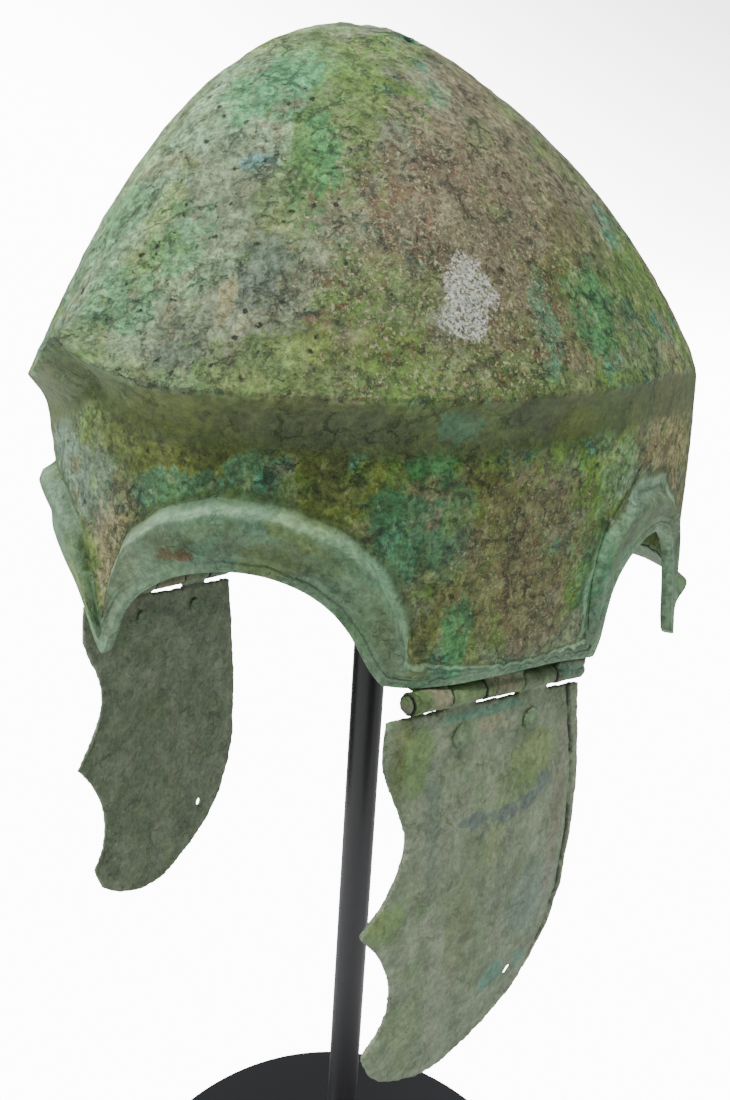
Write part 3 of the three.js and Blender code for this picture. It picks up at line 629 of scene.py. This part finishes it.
# %% Grain group: noises
GRAIN_NOISES = table(
    NOISE,
    ("ragged", 95, 12, 0.82, 0),
    ("mottle", 150, 7, 0.7, 0.5),
    ("grain", 620, 5, 0.75, 0),
    ("crumb", 1500, 2, 0.6, 0),
    ("wander", 700, 3, 0.6, 0),
    ("crevice", 330, 6, 0.72, 1.2),
    ("cracking", 120, 6, 0.7, 0),
    ("fleck", 1050, 6, 0.75, 0.4),
)
RAGGEDNESS, PIT_CELLS, CRACK_CELLS = 8.5, 300.0, 190.0
CRACK_BEND = {"Scale": 210.0, "Detail": 5.0, "Roughness": 0.7}
CRACK_BEND_REACH = (0.009, 0.009, 0.009)
grain_group, given, result = group_tree(
    "corrosion_grain", "Place, Pitting, Flecking",
    "Mottle, Grain, Pits, Flecks, Cracks, Height, Ragged")
field = noises(grain_group, given["Place"], GRAIN_NOISES)
ragged = times(grain_group, minus(grain_group, field["ragged"], 0.5), RAGGEDNESS)

# %% [markdown]
# Each mark is a noise or a cell's distance, cut between two limits. It is full at the
# second, so limits that fall pick out the low places.

# %% Grain group: pits, cracks and flecks
LIMITS = {"chosen": (0.90, 1.02), "round_pits": (0.62, 0.46), "crevices": (0.36, 0.27),
          "cracks": (0.10, 0.0), "cracked": (0.47, 0.60), "flecks": (0.63, 0.70)}
WANDER, MORE_PITS, MORE_FLECKS = 0.75, 0.13, 0.12
cells = step(grain_group, "ShaderNodeTexVoronoi",
             {"Vector": given["Place"], "Scale": PIT_CELLS, "Randomness": 1.0}).outputs
reach = plus(grain_group, cells["Distance"], field["wander"], WANDER)
chance = step(grain_group, "ShaderNodeSeparateColor", {0: cells["Color"]}).outputs[0]
chosen = between(grain_group, plus(grain_group, chance, given["Pitting"]), *LIMITS["chosen"])
round_pits = times(grain_group, between(grain_group, reach, *LIMITS["round_pits"]), chosen)
crevices = between(grain_group, minus(grain_group, field["crevice"], given["Pitting"], MORE_PITS),
                   *LIMITS["crevices"])
pits = calc(grain_group, "MAXIMUM", round_pits, crevices)
bend = step(grain_group, "ShaderNodeTexNoise",
            {"Vector": given["Place"], **CRACK_BEND}).outputs["Color"]
bend = step(grain_group, "ShaderNodeVectorMath", {0: bend, 1: CRACK_BEND_REACH},
            operation="MULTIPLY").outputs[0]
bent = step(grain_group, "ShaderNodeVectorMath", {0: bend, 1: given["Place"]},
            operation="ADD").outputs[0]
plates = step(grain_group, "ShaderNodeTexVoronoi", {"Vector": bent, "Scale": CRACK_CELLS},
              feature="DISTANCE_TO_EDGE").outputs
cracks = times(grain_group, between(grain_group, plates["Distance"], *LIMITS["cracks"]),
               between(grain_group, field["cracking"], *LIMITS["cracked"]))
flecks = between(grain_group, plus(grain_group, field["fleck"], given["Flecking"], MORE_FLECKS),
                 *LIMITS["flecks"])

# %% [markdown]
# The height adds up what stands proud and takes away what is eaten in.

# %% Grain group: height
HEIGHT_SHARES = {"mottle": 0.45, "grain": 0.35, "crumb": 0.16, "pits": -0.5, "flecks": 0.14,
                 "cracks": -0.30}
field.update(pits=pits, flecks=flecks, cracks=cracks)
height = 0.0
for name, share in HEIGHT_SHARES.items():
    height = plus(grain_group, height, field[name], share)
finish_group(grain_group, result, {
    "Mottle": field["mottle"], "Grain": field["grain"], "Pits": pits, "Flecks": flecks,
    "Cracks": cracks, "Height": height, "Ragged": ragged})

# %% [markdown]
# ## Light and dark in the crust
# The two noises that raise the grain also darken its hollows and lighten its tops. The
# colour is multiplied by them, and "share" says how strongly.

# %% Tones
BOWL_TONES = table(
    "output low high dark light",
    ("Mottle", 0.30, 0.72, (0.40, 0.43, 0.34, 1), (1.50, 1.46, 1.36, 1)),
    ("Grain", 0.36, 0.64, (0.42, 0.42, 0.38, 1), (1.42, 1.42, 1.36, 1)),
)
PLATE_TONES = table(
    "output low high dark light",
    ("Mottle", 0.30, 0.72, (0.45, 0.47, 0.42, 1), (1.3, 1.3, 1.24, 1)),
    ("Grain", 0.36, 0.64, (0.5, 0.5, 0.46, 1), (1.3, 1.3, 1.26, 1)),
)


def tones(tree, colour, grains, rows, shares):
    for row, share in zip(rows, shares):
        level = between(tree, grains[row["output"]], row["low"], row["high"])
        tone = blend(tree, level, row["dark"], row["light"])
        colour = blend(tree, share, colour, tone, "MULTIPLY")
    return colour


# %% [markdown]
# ## The bowl's patina
# Each row is one patch as it lies on the real bowl: its place round the bowl in degrees
# from the nose towards the wearer's left, its height, its half sizes, its colour from
# the palette and its strength. Later rows lie over earlier ones.

# %% Bowl: patches
PATCHES = table(
    "around height wide tall colour strength",
    (2, 425, 24, 58, "pale_teal", 0.9),
    (58, 428, 26, 42, "mauve", 0.9),
    (14, 414, 10, 15, "grey", 0.65),
    (9, 384, 10, 9, "grey", 0.6),
    (20, 386, 8, 10, "grey", 0.75),
    (24, 402, 6, 11, "grey", 0.7),
    (14, 446, 10, 13, "emerald", 0.62),
    (26, 440, 7, 26, "leaf", 0.75),
    (24, 424, 4, 14, "emerald", 0.5),
    (21, 414, 4, 14, "leaf", 0.5),
    (30, 458, 14, 7, "leaf", 0.6),
    (5, 459, 16, 6, "yellow_green", 0.45),
    (-8, 428, 5, 26, "yellow_green", 0.3),
    (6, 398, 4, 8, "yellow_green", 0.35),
    (-9, 405, 9, 10, "emerald", 0.3),
    (-2, 412, 7, 7, "emerald", 0.35),
    (4, 408, 3.5, 12, "yellow_green", 0.6),
    (8, 404, 4.5, 9, "emerald", 0.4),
    (3, 390, 6, 8, "emerald", 0.4),
    (-5, 383, 6, 5, "slate", 0.6),
    (-1, 422, 4, 4, "tan", 0.35),
    (16, 423, 3, 2.4, "sky", 1),
    (20, 399, 3.4, 9, "slate", 0.7),
    (17, 392, 1.1, 5, "tan", 0.6),
    (13, 379, 4, 4, "slate", 0.6),
    (40, 424, 9, 13, "rust", 0.5),
    (36, 411, 6, 9, "rust", 0.45),
    (50, 386, 5, 10, "rust", 0.5),
    (28, 385, 3, 7, "rust", 0.6),
    (63, 388, 3, 10, "rust", 0.35),
    (42, 400, 5, 9, "soil", 0.5),
    (36, 393, 8, 9, "leaf", 0.5),
    (40, 379, 24, 8, "leaf", 0.6),
    (34, 383, 10, 5, "yellow_green", 0.4),
    (66, 401, 8, 10, "olive", 0.7),
    (84, 396, 16, 20, "deep_green", 0.35),
    (78, 400, 18, 22, "olive", 0.4),
    (72, 397, 8, 11, "emerald", 0.5),
    (60, 391, 2.6, 13, "teal", 0.75),
    (54, 436, 4, 6, "leaf", 0.3),
    (44, 446, 4, 5, "pale_teal", 0.5),
    (-9, 350, 6, 15, "blue_grey", 0.8),
    (-1, 349, 6, 12, "blue_grey", 0.7),
    (-1, 363, 5, 7, "yellow_green", 0.4),
    (15, 358, 13, 8, "olive", 0.8),
    (13, 348, 7, 6, "teal", 0.6),
    (22, 352, 4, 8, "teal", 0.6),
    (31, 352, 6, 10, "olive", 0.8),
    (27, 341, 4, 6, "yellow_green", 0.5),
    (44, 357, 4, 6, "emerald", 0.55),
    (41, 343, 7, 10, "deep_green", 0.75),
    (52, 352, 6, 10, "olive", 0.7),
    (63, 347, 10, 14, "mauve", 0.6),
    (66, 322, 9, 16, "mauve", 0.8),
    (52, 322, 8, 13, "mauve", 0.5),
    (56, 336, 15, 22, "olive", 0.45),
    (47, 342, 4, 12, "teal", 0.4),
    (76, 332, 4, 14, "leaf", 0.4),
    (83, 355, 7, 9, "pale_teal", 0.5),
    (76, 363, 5, 6, "yellow_green", 0.5),
    (102, 362, 13, 34, "tan", 0.6),
    (3, 330, 4, 18, "tan", 0.6),
    (-8, 338, 3, 14, "pale_teal", 0.6),
    (-7, 320, 3, 10, "yellow_green", 0.5),
)
print("patches on the bowl:", len(PATCHES))

# %% [markdown]
# The groove and the rims are painted apart from the wall, so the patches that lie on them are
# in a second table that is painted later; two of those in the groove are painted shadow.
# A third table says where pits and flecks are, and where the painted highlight on the dome goes.

# %% Bowl: patches over the bands, and zones
OVER_BANDS = table(
    "around height wide tall colour strength",
    (12, 366, 10, 5, "olive", 0.4),
    (32, 366, 16, 4.5, "shadow", 0.6),
    (46, 367, 4, 3.5, "teal", 0.35),
    (59, 371, 6, 6, "shadow", 0.75),
    (67, 369, 5, 4, "olive", 0.6),
    (12, 334.5, 2.4, 1.8, "rust", 0.8),
    (28, 344, 4, 6, "yellow_green", 0.55),
    (24, 335, 3.5, 5, "olive", 0.5),
    (39, 336, 3, 8, "teal", 0.45),
    (-4, 322, 3, 16, "yellow_green", 0.4),
    (44, 315, 2.4, 9, "olive", 0.65),
    (50, 318, 2.6, 12, "emerald", 0.55),
    (80, 330, 3.5, 16, "emerald", 0.35),
    (92, 350, 8, 6, "blue_grey", 0.5),
    (83, 341.8, 0.6, 0.8, "bright_crust", 1),
)
ZONES = table(
    "around height wide tall name strength",
    (12, 405, 26, 45, "pits_left", 1),
    (46, 402, 22, 34, "flecks_right", 1),
    (62, 332, 16, 26, "flecks_wall", 0.75),
    # the glint zone is where the painted highlight goes
    (46.5, 395, 4.5, 9, "glint", 1),
)
print("patches over the bands:", len(OVER_BANDS), "zones:", len(ZONES))

# %% [markdown]
# ## The bowl's material, step by step
# First the chart: a point's place round the bowl and its height come from Object
# coordinates, and the marks made above say where the band and the groove are. Both are
# sound metal, with fewer pits and no flecks. The rest is rough wall.

# %% Bowl material: chart
def new_material(name):
    material = bpy.data.materials.new(name)
    material.use_nodes = True
    return material, material.node_tree, material.node_tree.nodes["Principled BSDF"]


def attribute(tree, name):
    return step(tree, "ShaderNodeAttribute", attribute_name=name).outputs["Fac"]


BAND_LIMITS, GROOVE_TOP, GROOVE_FOOT = (1.12, 0.92), (0.5, -2.0), (-15.0, -10.5)
bowl_patina, tree, shader = new_material("bowl_patina")
place = step(tree, "ShaderNodeTexCoord").outputs["Object"]
axes = step(tree, "ShaderNodeSeparateXYZ", {0: place}).outputs
turn = calc(tree, "ARCTAN2", axes["X"], times(tree, axes["Y"], -1.0))
chart = {"around": times(tree, turn, math.degrees(1)), "height": times(tree, axes["Z"], 1 / MM)}
over, across, off_edge = (attribute(tree, name) for name in ("over_ridge", "band", "from_edge"))
on_band = between(tree, across, *BAND_LIMITS)
in_groove = times(tree, between(tree, over, *GROOVE_TOP), between(tree, over, *GROOVE_FOOT))
sound = calc(tree, "MAXIMUM", on_band, in_groove)
rough_wall = minus(tree, 1.0, sound)

# %% [markdown]
# Then the noises. Clouds are cut from noise between two limits; the ones that ran down
# the wall with the damp are stretched upwards by a Mapping node.

# %% Bowl material: noises
ZONE_EDGE = table(NOISE, ("zone_edge", 110, 8, 0.75, 0))[0]
ZONE_EDGE_REACH, RUN_DOWN = 5.0, (1.0, 1.0, 0.55)
BOWL_CLOUDS = table(
    CLOUDS,
    ("green", 38, 5, 0.6, 0, 0.42, 0.56),
    ("teal", 60, 8, 0.7, 0, 0.54, 0.60),
    ("earth", 24, 8, 0.7, 0, 0.47, 0.56),
    ("rusty", 210, 8, 0.75, 0.6, 0.47, 0.55),
    ("brown", 330, 8, 0.75, 1.0, 0.53, 0.60),
)
RUNNING_CLOUDS = table(
    CLOUDS,
    ("islands", 190, 9, 0.74, 0.8, 0.56, 0.60),
    ("hollows", 150, 9, 0.76, 0.8, 0.44, 0.39),
    ("green_spots", 120, 9, 0.72, 0, 0.57, 0.60),
    ("band_marks", 70, 7, 0.7, 0, 0.40, 0.60),
)
GLINTS = table(NOISE, ("glints", 1300, 6, 0.75, 0))[0]
running = step(tree, "ShaderNodeMapping", {"Vector": place, "Scale": RUN_DOWN}).outputs["Vector"]
cloud = {**clouds(tree, place, BOWL_CLOUDS), **clouds(tree, running, RUNNING_CLOUDS)}
zone_edge = times(tree, minus(tree, noise(tree, place, ZONE_EDGE), 0.5), ZONE_EDGE_REACH)
zone = {row["name"]: patch(tree, chart, zone_edge, row) for row in ZONES}
flecked = calc(tree, "MAXIMUM", zone["flecks_right"], zone["flecks_wall"])
flecking = minus(tree, flecked, sound, 0.8)
grains = step(tree, "ShaderNodeGroup", {
    "Place": place, "Flecking": flecking,
    "Pitting": minus(tree, times(tree, zone["pits_left"], 0.30), sound, 0.6),
}, node_tree=grain_group).outputs

# %% [markdown]
# Then the colours, from the bottom layer up: clouds of grey, leaf green, teal and earth,
# the charted patches with rust broken into speckles, pale islands and dark hollows on
# the rough wall, the groove darkened with olive crust and painted shade, and the paler
# band, with their own patches.

# %% Bowl material: layers of colour
ROUGH_LAYERS = table(
    "colour cloud share",
    ("pale_crust", "islands", 0.42),
    ("soil", "hollows", 0.55),
    ("leaf", "green_spots", 0.5),
)
EARTH_SHARE, GROOVE_SHARE, BAND_SHARE = 0.6, 0.85, 0.75
colour = blend(tree, cloud["green"], PALETTE["grey"], PALETTE["leaf"])
colour = paint(tree, colour, "teal", cloud["teal"])
colour = paint(tree, colour, "mauve", cloud["earth"], EARTH_SHARE)
for row in PATCHES:
    share = patch(tree, chart, grains["Ragged"], row)
    speckles = [cloud["rusty"]] if row["colour"] == "rust" else []
    colour = paint(tree, colour, row["colour"], share, *speckles)
for row in ROUGH_LAYERS:
    colour = paint(tree, colour, row["colour"], cloud[row["cloud"]], rough_wall, row["share"])
# the groove is painted dark: its olive crust and painted shade under the ridge
colour = paint(tree, colour, "moss", in_groove, GROOVE_SHARE)
colour = paint(tree, colour, "rim", on_band, BAND_SHARE)
for row in OVER_BANDS:
    colour = paint(tree, colour, row["colour"], patch(tree, chart, grains["Ragged"], row))
print("bowl patina nodes:", len(tree.nodes))

# %% [markdown]
# A rim is a band between two beads: one runs beside the step, the other along the
# opening's edge, with a hollow between them. Each is a ring of the mark that says how far
# a point is across the band: its middle, then how far from it the ring starts and where
# it is full. The beads get a painted highlight, the hollow and the line along the step get
# painted shade, and the ridge's top is painted greener, part green crust and part painted
# highlight.

# %% Bowl material: rims and ridge
STEP_RING, BEAD_RING, HOLLOW_RING = (1.02, 0.13, 0.03), (0.86, 0.13, 0.03), (0.52, 0.30, 0.10)
EDGE_BEAD, PAST_EDGE_BEAD = (2.2, 0.6), (2.4, 4.0)
RIDGE_FOOT, RIDGE_TOP = (-0.5, 0.8), (6.0, 2.0)
step_shade_line = times(tree, ring(tree, across, *STEP_RING), 0.55)
edge_bead = between(tree, off_edge, *EDGE_BEAD)
beads = calc(tree, "MAXIMUM", ring(tree, across, *BEAD_RING), edge_bead)
hollow = times(tree, ring(tree, across, *HOLLOW_RING), between(tree, off_edge, *PAST_EDGE_BEAD))
on_ridge = times(tree, between(tree, over, *RIDGE_FOOT), between(tree, over, *RIDGE_TOP))
# painted shade along the step and in the hollow, painted highlight on the beads, the ridge's top
# painted greener: part green crust, part painted highlight
colour = paint(tree, colour, "moss", step_shade_line)
colour = paint(tree, colour, "pale_teal", beads, 0.5)
colour = paint(tree, colour, "moss", hollow, cloud["band_marks"], 0.6)
colour = paint(tree, colour, "leaf", on_ridge, 0.4)

# %% [markdown]
# The grain of corrosion lies over all of it: light and dark crust, brown specks where
# the wall is flecked, pale flecks, cracks and pits. The bright spot high on the dome is a
# painted highlight, near white, below a lamp overhead. The sound metal is glossier, and pits are
# dull.

# %% Bowl material: grain and gloss
GLINT_LIMITS, MORE_GLINTS = (0.56, 0.62), 0.10
WALL_DULL, METAL_DULL, PIT_DULL = ((value, value, value, 1) for value in (0.66, 0.5, 0.9))
calm = minus(tree, 0.9, sound, 0.4)
glints = plus(tree, noise(tree, place, GLINTS), zone["glint"], MORE_GLINTS)
glints = between(tree, glints, *GLINT_LIMITS)
colour = tones(tree, colour, grains, BOWL_TONES, (calm, calm))
colour = paint(tree, colour, "rust", cloud["brown"], flecking, 0.8)
colour = paint(tree, colour, "cream", grains["Flecks"], 0.75)
colour = paint(tree, colour, "pit", grains["Cracks"], rough_wall, 0.55)
colour = paint(tree, colour, "pit", grains["Pits"], 0.9)
# painted highlight: the dome's bright spot is painted near white
colour = paint(tree, colour, "bright_crust", glints, zone["glint"])
colour = step(tree, "ShaderNodeHueSaturation",
              {"Saturation": 1.16, "Value": 1.0, "Color": colour}).outputs["Color"]
tree.links.new(colour, shader.inputs["Base Color"])
dullness = blend(tree, grains["Pits"], blend(tree, sound, WALL_DULL, METAL_DULL), PIT_DULL)
tree.links.new(dullness, shader.inputs["Roughness"])

# %% [markdown]
# Last the relief that is too fine for the mesh: the grain, calmer on sound metal, a line
# beside the opening's edge, the beads and the hollow. A Bump node turns it into normals.
# The patina is a mineral crust, so nothing of it is metallic.

# %% Bowl material: relief
SHEEN, EDGE_LINE, BUMP_HEIGHT = 0.45, (3.4, 0.9, 0.2), 2.4
LINE_SUNK, BEADS_RAISED, HOLLOW_SUNK = 0.25, 0.30, 0.25


def emboss(tree, shader, relief, height):
    bump = step(tree, "ShaderNodeBump",
                {"Strength": 1.0, "Distance": height * MM, "Height": relief})
    tree.links.new(bump.outputs["Normal"], shader.inputs["Normal"])
    shader.inputs["Specular IOR Level"].default_value = SHEEN


relief = times(tree, grains["Height"], minus(tree, 1.0, sound, 0.6))
relief = minus(tree, relief, ring(tree, off_edge, *EDGE_LINE), LINE_SUNK)
relief = plus(tree, relief, beads, BEADS_RAISED)
relief = minus(tree, relief, hollow, HOLLOW_SUNK)
emboss(tree, shader, relief, BUMP_HEIGHT)
print("bowl patina nodes:", len(tree.nodes))

# %% [markdown]
# ## The cheekpieces' patina
# The plates are thinner and less pitted: a grey-green skin with olive clouds, bluish
# stains and green corners. Their patches are charted along the hinge ("run") and down
# from it ("drop"), in millimetres, and the same patch group serves. The knuckles have a
# short table of their own.

# %% Cheekpiece patches
CHEEK_PATCHES = table(
    "run drop wide tall colour strength",
    (-68, 15, 6, 10, "leaf", 0.75),
    (-71, 8, 3, 5, "yellow_green", 0.8),
    (-74, 16, 2.5, 11, "olive", 0.6),
    (-19, 25, 10, 8, "yellow_green", 0.6),
    (-28, 32, 10, 6, "leaf", 0.4),
    (-43, 38, 7, 2.4, "slate", 0.85),
    (-31.5, 39.5, 7, 2.6, "slate", 0.85),
    (-20, 38, 6, 2.6, "slate", 0.85),
    (-12, 34, 4, 3.4, "slate", 0.8),
    (-36, 47, 5, 7, "yellow_green", 0.4),
    (-61, 36, 2.6, 18, "slate", 0.45),
    (-10, 72, 12, 15, "blue_grey", 0.45),
    (-26.5, 97, 6, 5, "teal", 0.85),
    (-13.5, 96, 4, 4, "teal", 0.7),
    (-46, 74, 6, 15, "olive", 0.4),
    (-76, 61, 6, 6, "leaf", 0.7),
    (-78, 59, 3, 3, "yellow_green", 0.6),
    (-32, 67, 6, 5, "grey", 0.7),
    (-38, 11, 7, 3, "tan", 0.45),
    (-40, 6.6, 17, 1.6, "teal", 0.7),
    (-4, 48, 3.4, 30, "mauve", 0.5),
    (-62, 100, 8, 12, "leaf", 0.4),
    (-52, -1, 6, 3, "leaf", 0.7),
    (-20, -1, 6, 3, "leaf", 0.4),
)
KNUCKLE_PATCHES = table(
    "run drop wide tall colour strength",
    (-69, 0, 4, 4, "leaf", 0.8),
    (-62, -2, 3, 3, "tan", 0.6),
    (-36, 0, 7, 4, "tan", 0.5),
    (-5, 0, 8, 4, "teal", 0.55),
)
print("patches on a cheekpiece:", len(CHEEK_PATCHES), "on its hinge:", len(KNUCKLE_PATCHES))

# %% [markdown]
# The plates, the hinges and the rivets share one recipe with different values. "pitting"
# and "flecking" go to the grain, "green" and "brown" say how strong those clouds are, and
# "relief" is the bump's height in millimetres. Patches lie on the outer face only.

# %% Plate recipe
PLATE_CLOUDS = table(
    CLOUDS,
    ("dark", 45, 8, 0.7, 0, 0.42, 0.58),
    ("green", 90, 9, 0.72, 0.4, 0.52, 0.60),
    ("brown", 130, 9, 0.75, 0.4, 0.53, 0.58),
    ("uneven", 160, 6, 0.7, 0, 0.34, 0.56),
)
PLATE_ROUGHNESS, TONE_SHARES, CUT_DEPTH = 0.6, (0.6, 0.5), 0.6
SEAM, ABOVE_BARREL = (0.5, 0.15), (-3.1, -4.2)


def plate_material(row):
    material, tree, shader = new_material(row["name"])
    place = step(tree, "ShaderNodeTexCoord").outputs["Object"]
    chart = {"run": attribute(tree, "run"), "drop": attribute(tree, "drop")}
    outer = attribute(tree, "outer")
    cloud = clouds(tree, place, PLATE_CLOUDS)
    grains = step(tree, "ShaderNodeGroup", {
        "Place": place, "Pitting": row["pitting"], "Flecking": row["flecking"],
    }, node_tree=grain_group).outputs
    colour = blend(tree, cloud["dark"], row["light"], row["dark"])
    colour = paint(tree, colour, "leaf", cloud["green"], row["green"])
    colour = paint(tree, colour, "mauve", cloud["brown"], row["brown"])
    for spot in row["patches"]:
        share = patch(tree, chart, grains["Ragged"], spot)
        colour = paint(tree, colour, spot["colour"], share, outer)
    colour = tones(tree, colour, grains, PLATE_TONES, TONE_SHARES)
    colour = paint(tree, colour, "tan", grains["Flecks"], 0.5)
    colour = paint(tree, colour, "pit", grains["Pits"], 0.7)
    cut = times(tree, attribute(tree, "border"), cloud["uneven"])
    colour = paint(tree, colour, "pit", cut)
    # the knuckles are painted darker near their joints, and what stands above the barrel gets
    # painted shade: the shade of the gap under the bowl's edge
    seam = between(tree, attribute(tree, "to_joint"), *SEAM)
    joint_dark_and_gap_shade = calc(tree, "MAXIMUM", seam, between(tree, chart["drop"], *ABOVE_BARREL))
    colour = paint(tree, colour, "pit", joint_dark_and_gap_shade, 0.9)
    tree.links.new(colour, shader.inputs["Base Color"])
    shader.inputs["Roughness"].default_value = PLATE_ROUGHNESS
    emboss(tree, shader, minus(tree, grains["Height"], cut, CUT_DEPTH), row["relief"])
    print(material.name, "nodes:", len(tree.nodes))
    return material


# %% [markdown]
# The plates are grey-green and smooth, the hinges browner and rougher, and the rivets
# the brightest green.

# %% Plate materials
PLATES = table(
    "name light dark pitting flecking relief green brown patches",
    ("cheek_patina", (0.24, 0.29, 0.19, 1), (0.18, 0.24, 0.145, 1), -0.12, 0.0, 1.0, 0.25, 0.2,
     CHEEK_PATCHES),
    ("hinge_patina", (0.22, 0.26, 0.15, 1), (0.14, 0.19, 0.10, 1), 0.0, 0.1, 1.6, 0.8, 0.6,
     KNUCKLE_PATCHES),
    ("rivet_patina", (0.20, 0.30, 0.17, 1), (0.12, 0.19, 0.10, 1), 0.0, 0.0, 1.3, 0.6, 0.3, []),
)
cheek_patina, hinge_patina, rivet_patina = (plate_material(row) for row in PLATES)

# %% [markdown]
# The stand is plain steel with satin black paint. Nothing on it varies, so its values go
# straight onto the shader.

# %% Stand material
BLACK_PAINT, SATIN = (0.015, 0.015, 0.017, 1), 0.38
satin_black, tree, shader = new_material("satin_black")
shader.inputs["Base Color"].default_value = BLACK_PAINT
shader.inputs["Roughness"].default_value = SATIN
print("materials:", [material.name for material in bpy.data.materials])

# %% [markdown]
# ## Materials on pieces
# Each piece gets its material and is hung on the body it rides on, and the solid of the
# node it stands for is hidden.

# %% Dress the pieces
def dress(piece, material, node, body):
    piece.data.materials.append(material)
    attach(piece, body)
    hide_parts(node)


dress(bowl, bowl_patina, "bowl", "helmet")
dress(stand_disc, satin_black, "stand_disc", "helmet")
dress(stand_rod, satin_black, "stand_rod", "helmet")
for piece, node, body, slot in side_pieces:
    patina = cheek_patina if slot == "cheek_bronze" else hinge_patina
    dress(piece, rivet_patina if node.startswith("rivet") else patina, node, body)

# %% [markdown]
# ## Studio
# A white floor that runs out of sight, a pale room and two large soft lamps above: most
# light comes from above and from the helmet's front. Floor and room look bright white to
# the camera only, so they don't bleach the bronze from below.

# %% Floor
BACKDROP_BRIGHT, BACKDROP_SHADED = 13.0, 2.6
FLOOR_RADIUS, UNDER_DISC = 9.0, 0.0005


def seen_or_felt(tree, felt, seen, output):
    # what the camera sees may differ from what lights the scene
    sight = step(tree, "ShaderNodeLightPath").outputs["Is Camera Ray"]
    either = step(tree, "ShaderNodeMixShader", {0: sight, 1: felt, 2: seen})
    tree.links.new(either.outputs[0], tree.nodes[output].inputs["Surface"])


bpy.ops.object.select_all(action="DESELECT")
bpy.ops.mesh.primitive_circle_add(
    vertices=96, radius=FLOOR_RADIUS, fill_type="NGON", location=(0, 0, -UNDER_DISC))
floor = bpy.context.object
floor.name = "studio_floor"
floor_paint, tree, shader = new_material("studio_floor_paint")
shader.inputs["Base Color"].default_value = (0.9, 0.9, 0.9, 1)
shader.inputs["Roughness"].default_value = 0.9
glow = step(tree, "ShaderNodeEmission", {"Color": (1.0, 1.0, 1.0, 1), "Strength": BACKDROP_BRIGHT})
seen_or_felt(tree, shader.outputs[0], glow.outputs[0], "Material Output")
floor.data.materials.append(floor_paint)
print("floor radius:", FLOOR_RADIUS, "m")

# %% [markdown]
# The backdrop is bright near the horizon, so that no line shows where the floor ends, and
# a soft grey shade lies high up on one side of it. "aside" leans that shade.

# %% Room
ROOM_COLOUR, ROOM_STRENGTH = (0.93, 0.95, 1.0, 1), 0.42
LEAN_X, LEAN_Y, SHADE_FROM, SHADE_TO, CLEAR_TO = 0.40, 0.30, 0.05, 0.62, 0.15
world = bpy.data.worlds.new("pale_room")
world.use_nodes = True
tree = world.node_tree
room = tree.nodes["Background"]
room.inputs["Color"].default_value = ROOM_COLOUR
room.inputs["Strength"].default_value = ROOM_STRENGTH
view = step(tree, "ShaderNodeTexCoord").outputs["Generated"]
way = step(tree, "ShaderNodeSeparateXYZ", {0: view}).outputs
aside = plus(tree, times(tree, way["X"], LEAN_X), way["Y"], LEAN_Y)
shade = between(tree, plus(tree, way["Z"], aside), SHADE_FROM, SHADE_TO)
shade = times(tree, shade, between(tree, way["Z"], 0.0, CLEAR_TO))
fade = step(tree, "ShaderNodeMapRange",
            {"Value": shade, "To Min": BACKDROP_BRIGHT, "To Max": BACKDROP_SHADED})
seen = step(tree, "ShaderNodeBackground",
            {"Color": (1.0, 1.0, 0.99, 1), "Strength": fade.outputs["Result"]})
seen_or_felt(tree, room.outputs[0], seen.outputs[0], "World Output")
bpy.context.scene.world = world
print("room nodes:", len(tree.nodes))

# %% [markdown]
# Two round lamps look at the helmet's middle: a wide one like a window, above its front,
# and a smaller one near the ceiling that draws the dome's edge and the rims.

# %% Lamps
LAMP_AIM = Vector((0, 0, 0.36))
LAMPS = table(
    "name place size power",
    ("window_above_front", (-0.75, -0.75, 1.25), 0.55, 23),
    ("ceiling", (0.55, -0.05, 1.65), 0.30, 17),
)
for row in LAMPS:
    data = bpy.data.lights.new(row["name"], "AREA")
    data.shape = "DISK"
    data.size = row["size"]
    data.energy = row["power"]
    light = bpy.data.objects.new(row["name"], data)
    bpy.context.scene.collection.objects.link(light)
    light.location = row["place"]
    light.rotation_euler = (LAMP_AIM - Vector(row["place"])).to_track_quat("-Z", "Y").to_euler()
    print(row["name"], "watts:", row["power"])

# %% [markdown]
# ## Camera
# The camera stands close, a little above the ridge, and looks at the helmet from its
# front left. Close and wide makes the dome loom over the small base.

# %% Camera
CAMERA = {"place": (0.16903, -0.22820, 0.37958), "azimuth": 37.34, "pitch": -12.77,
          "roll": 3.44, "lens": 26.84}
camera_data = bpy.data.cameras.new("camera")
camera_data.lens = CAMERA["lens"]
camera_data.sensor_width = 36
camera_data.clip_start = 0.01
camera = bpy.data.objects.new("camera", camera_data)
bpy.context.scene.collection.objects.link(camera)
camera.matrix_world = (
    Matrix.Translation(CAMERA["place"])
    @ Matrix.Rotation(math.radians(CAMERA["azimuth"]), 4, "Z")
    @ Matrix.Rotation(math.radians(90 + CAMERA["pitch"]), 4, "X")
    @ Matrix.Rotation(math.radians(CAMERA["roll"]), 4, "Z"))
bpy.context.scene.camera = camera
print("lens:", camera_data.lens, "mm")
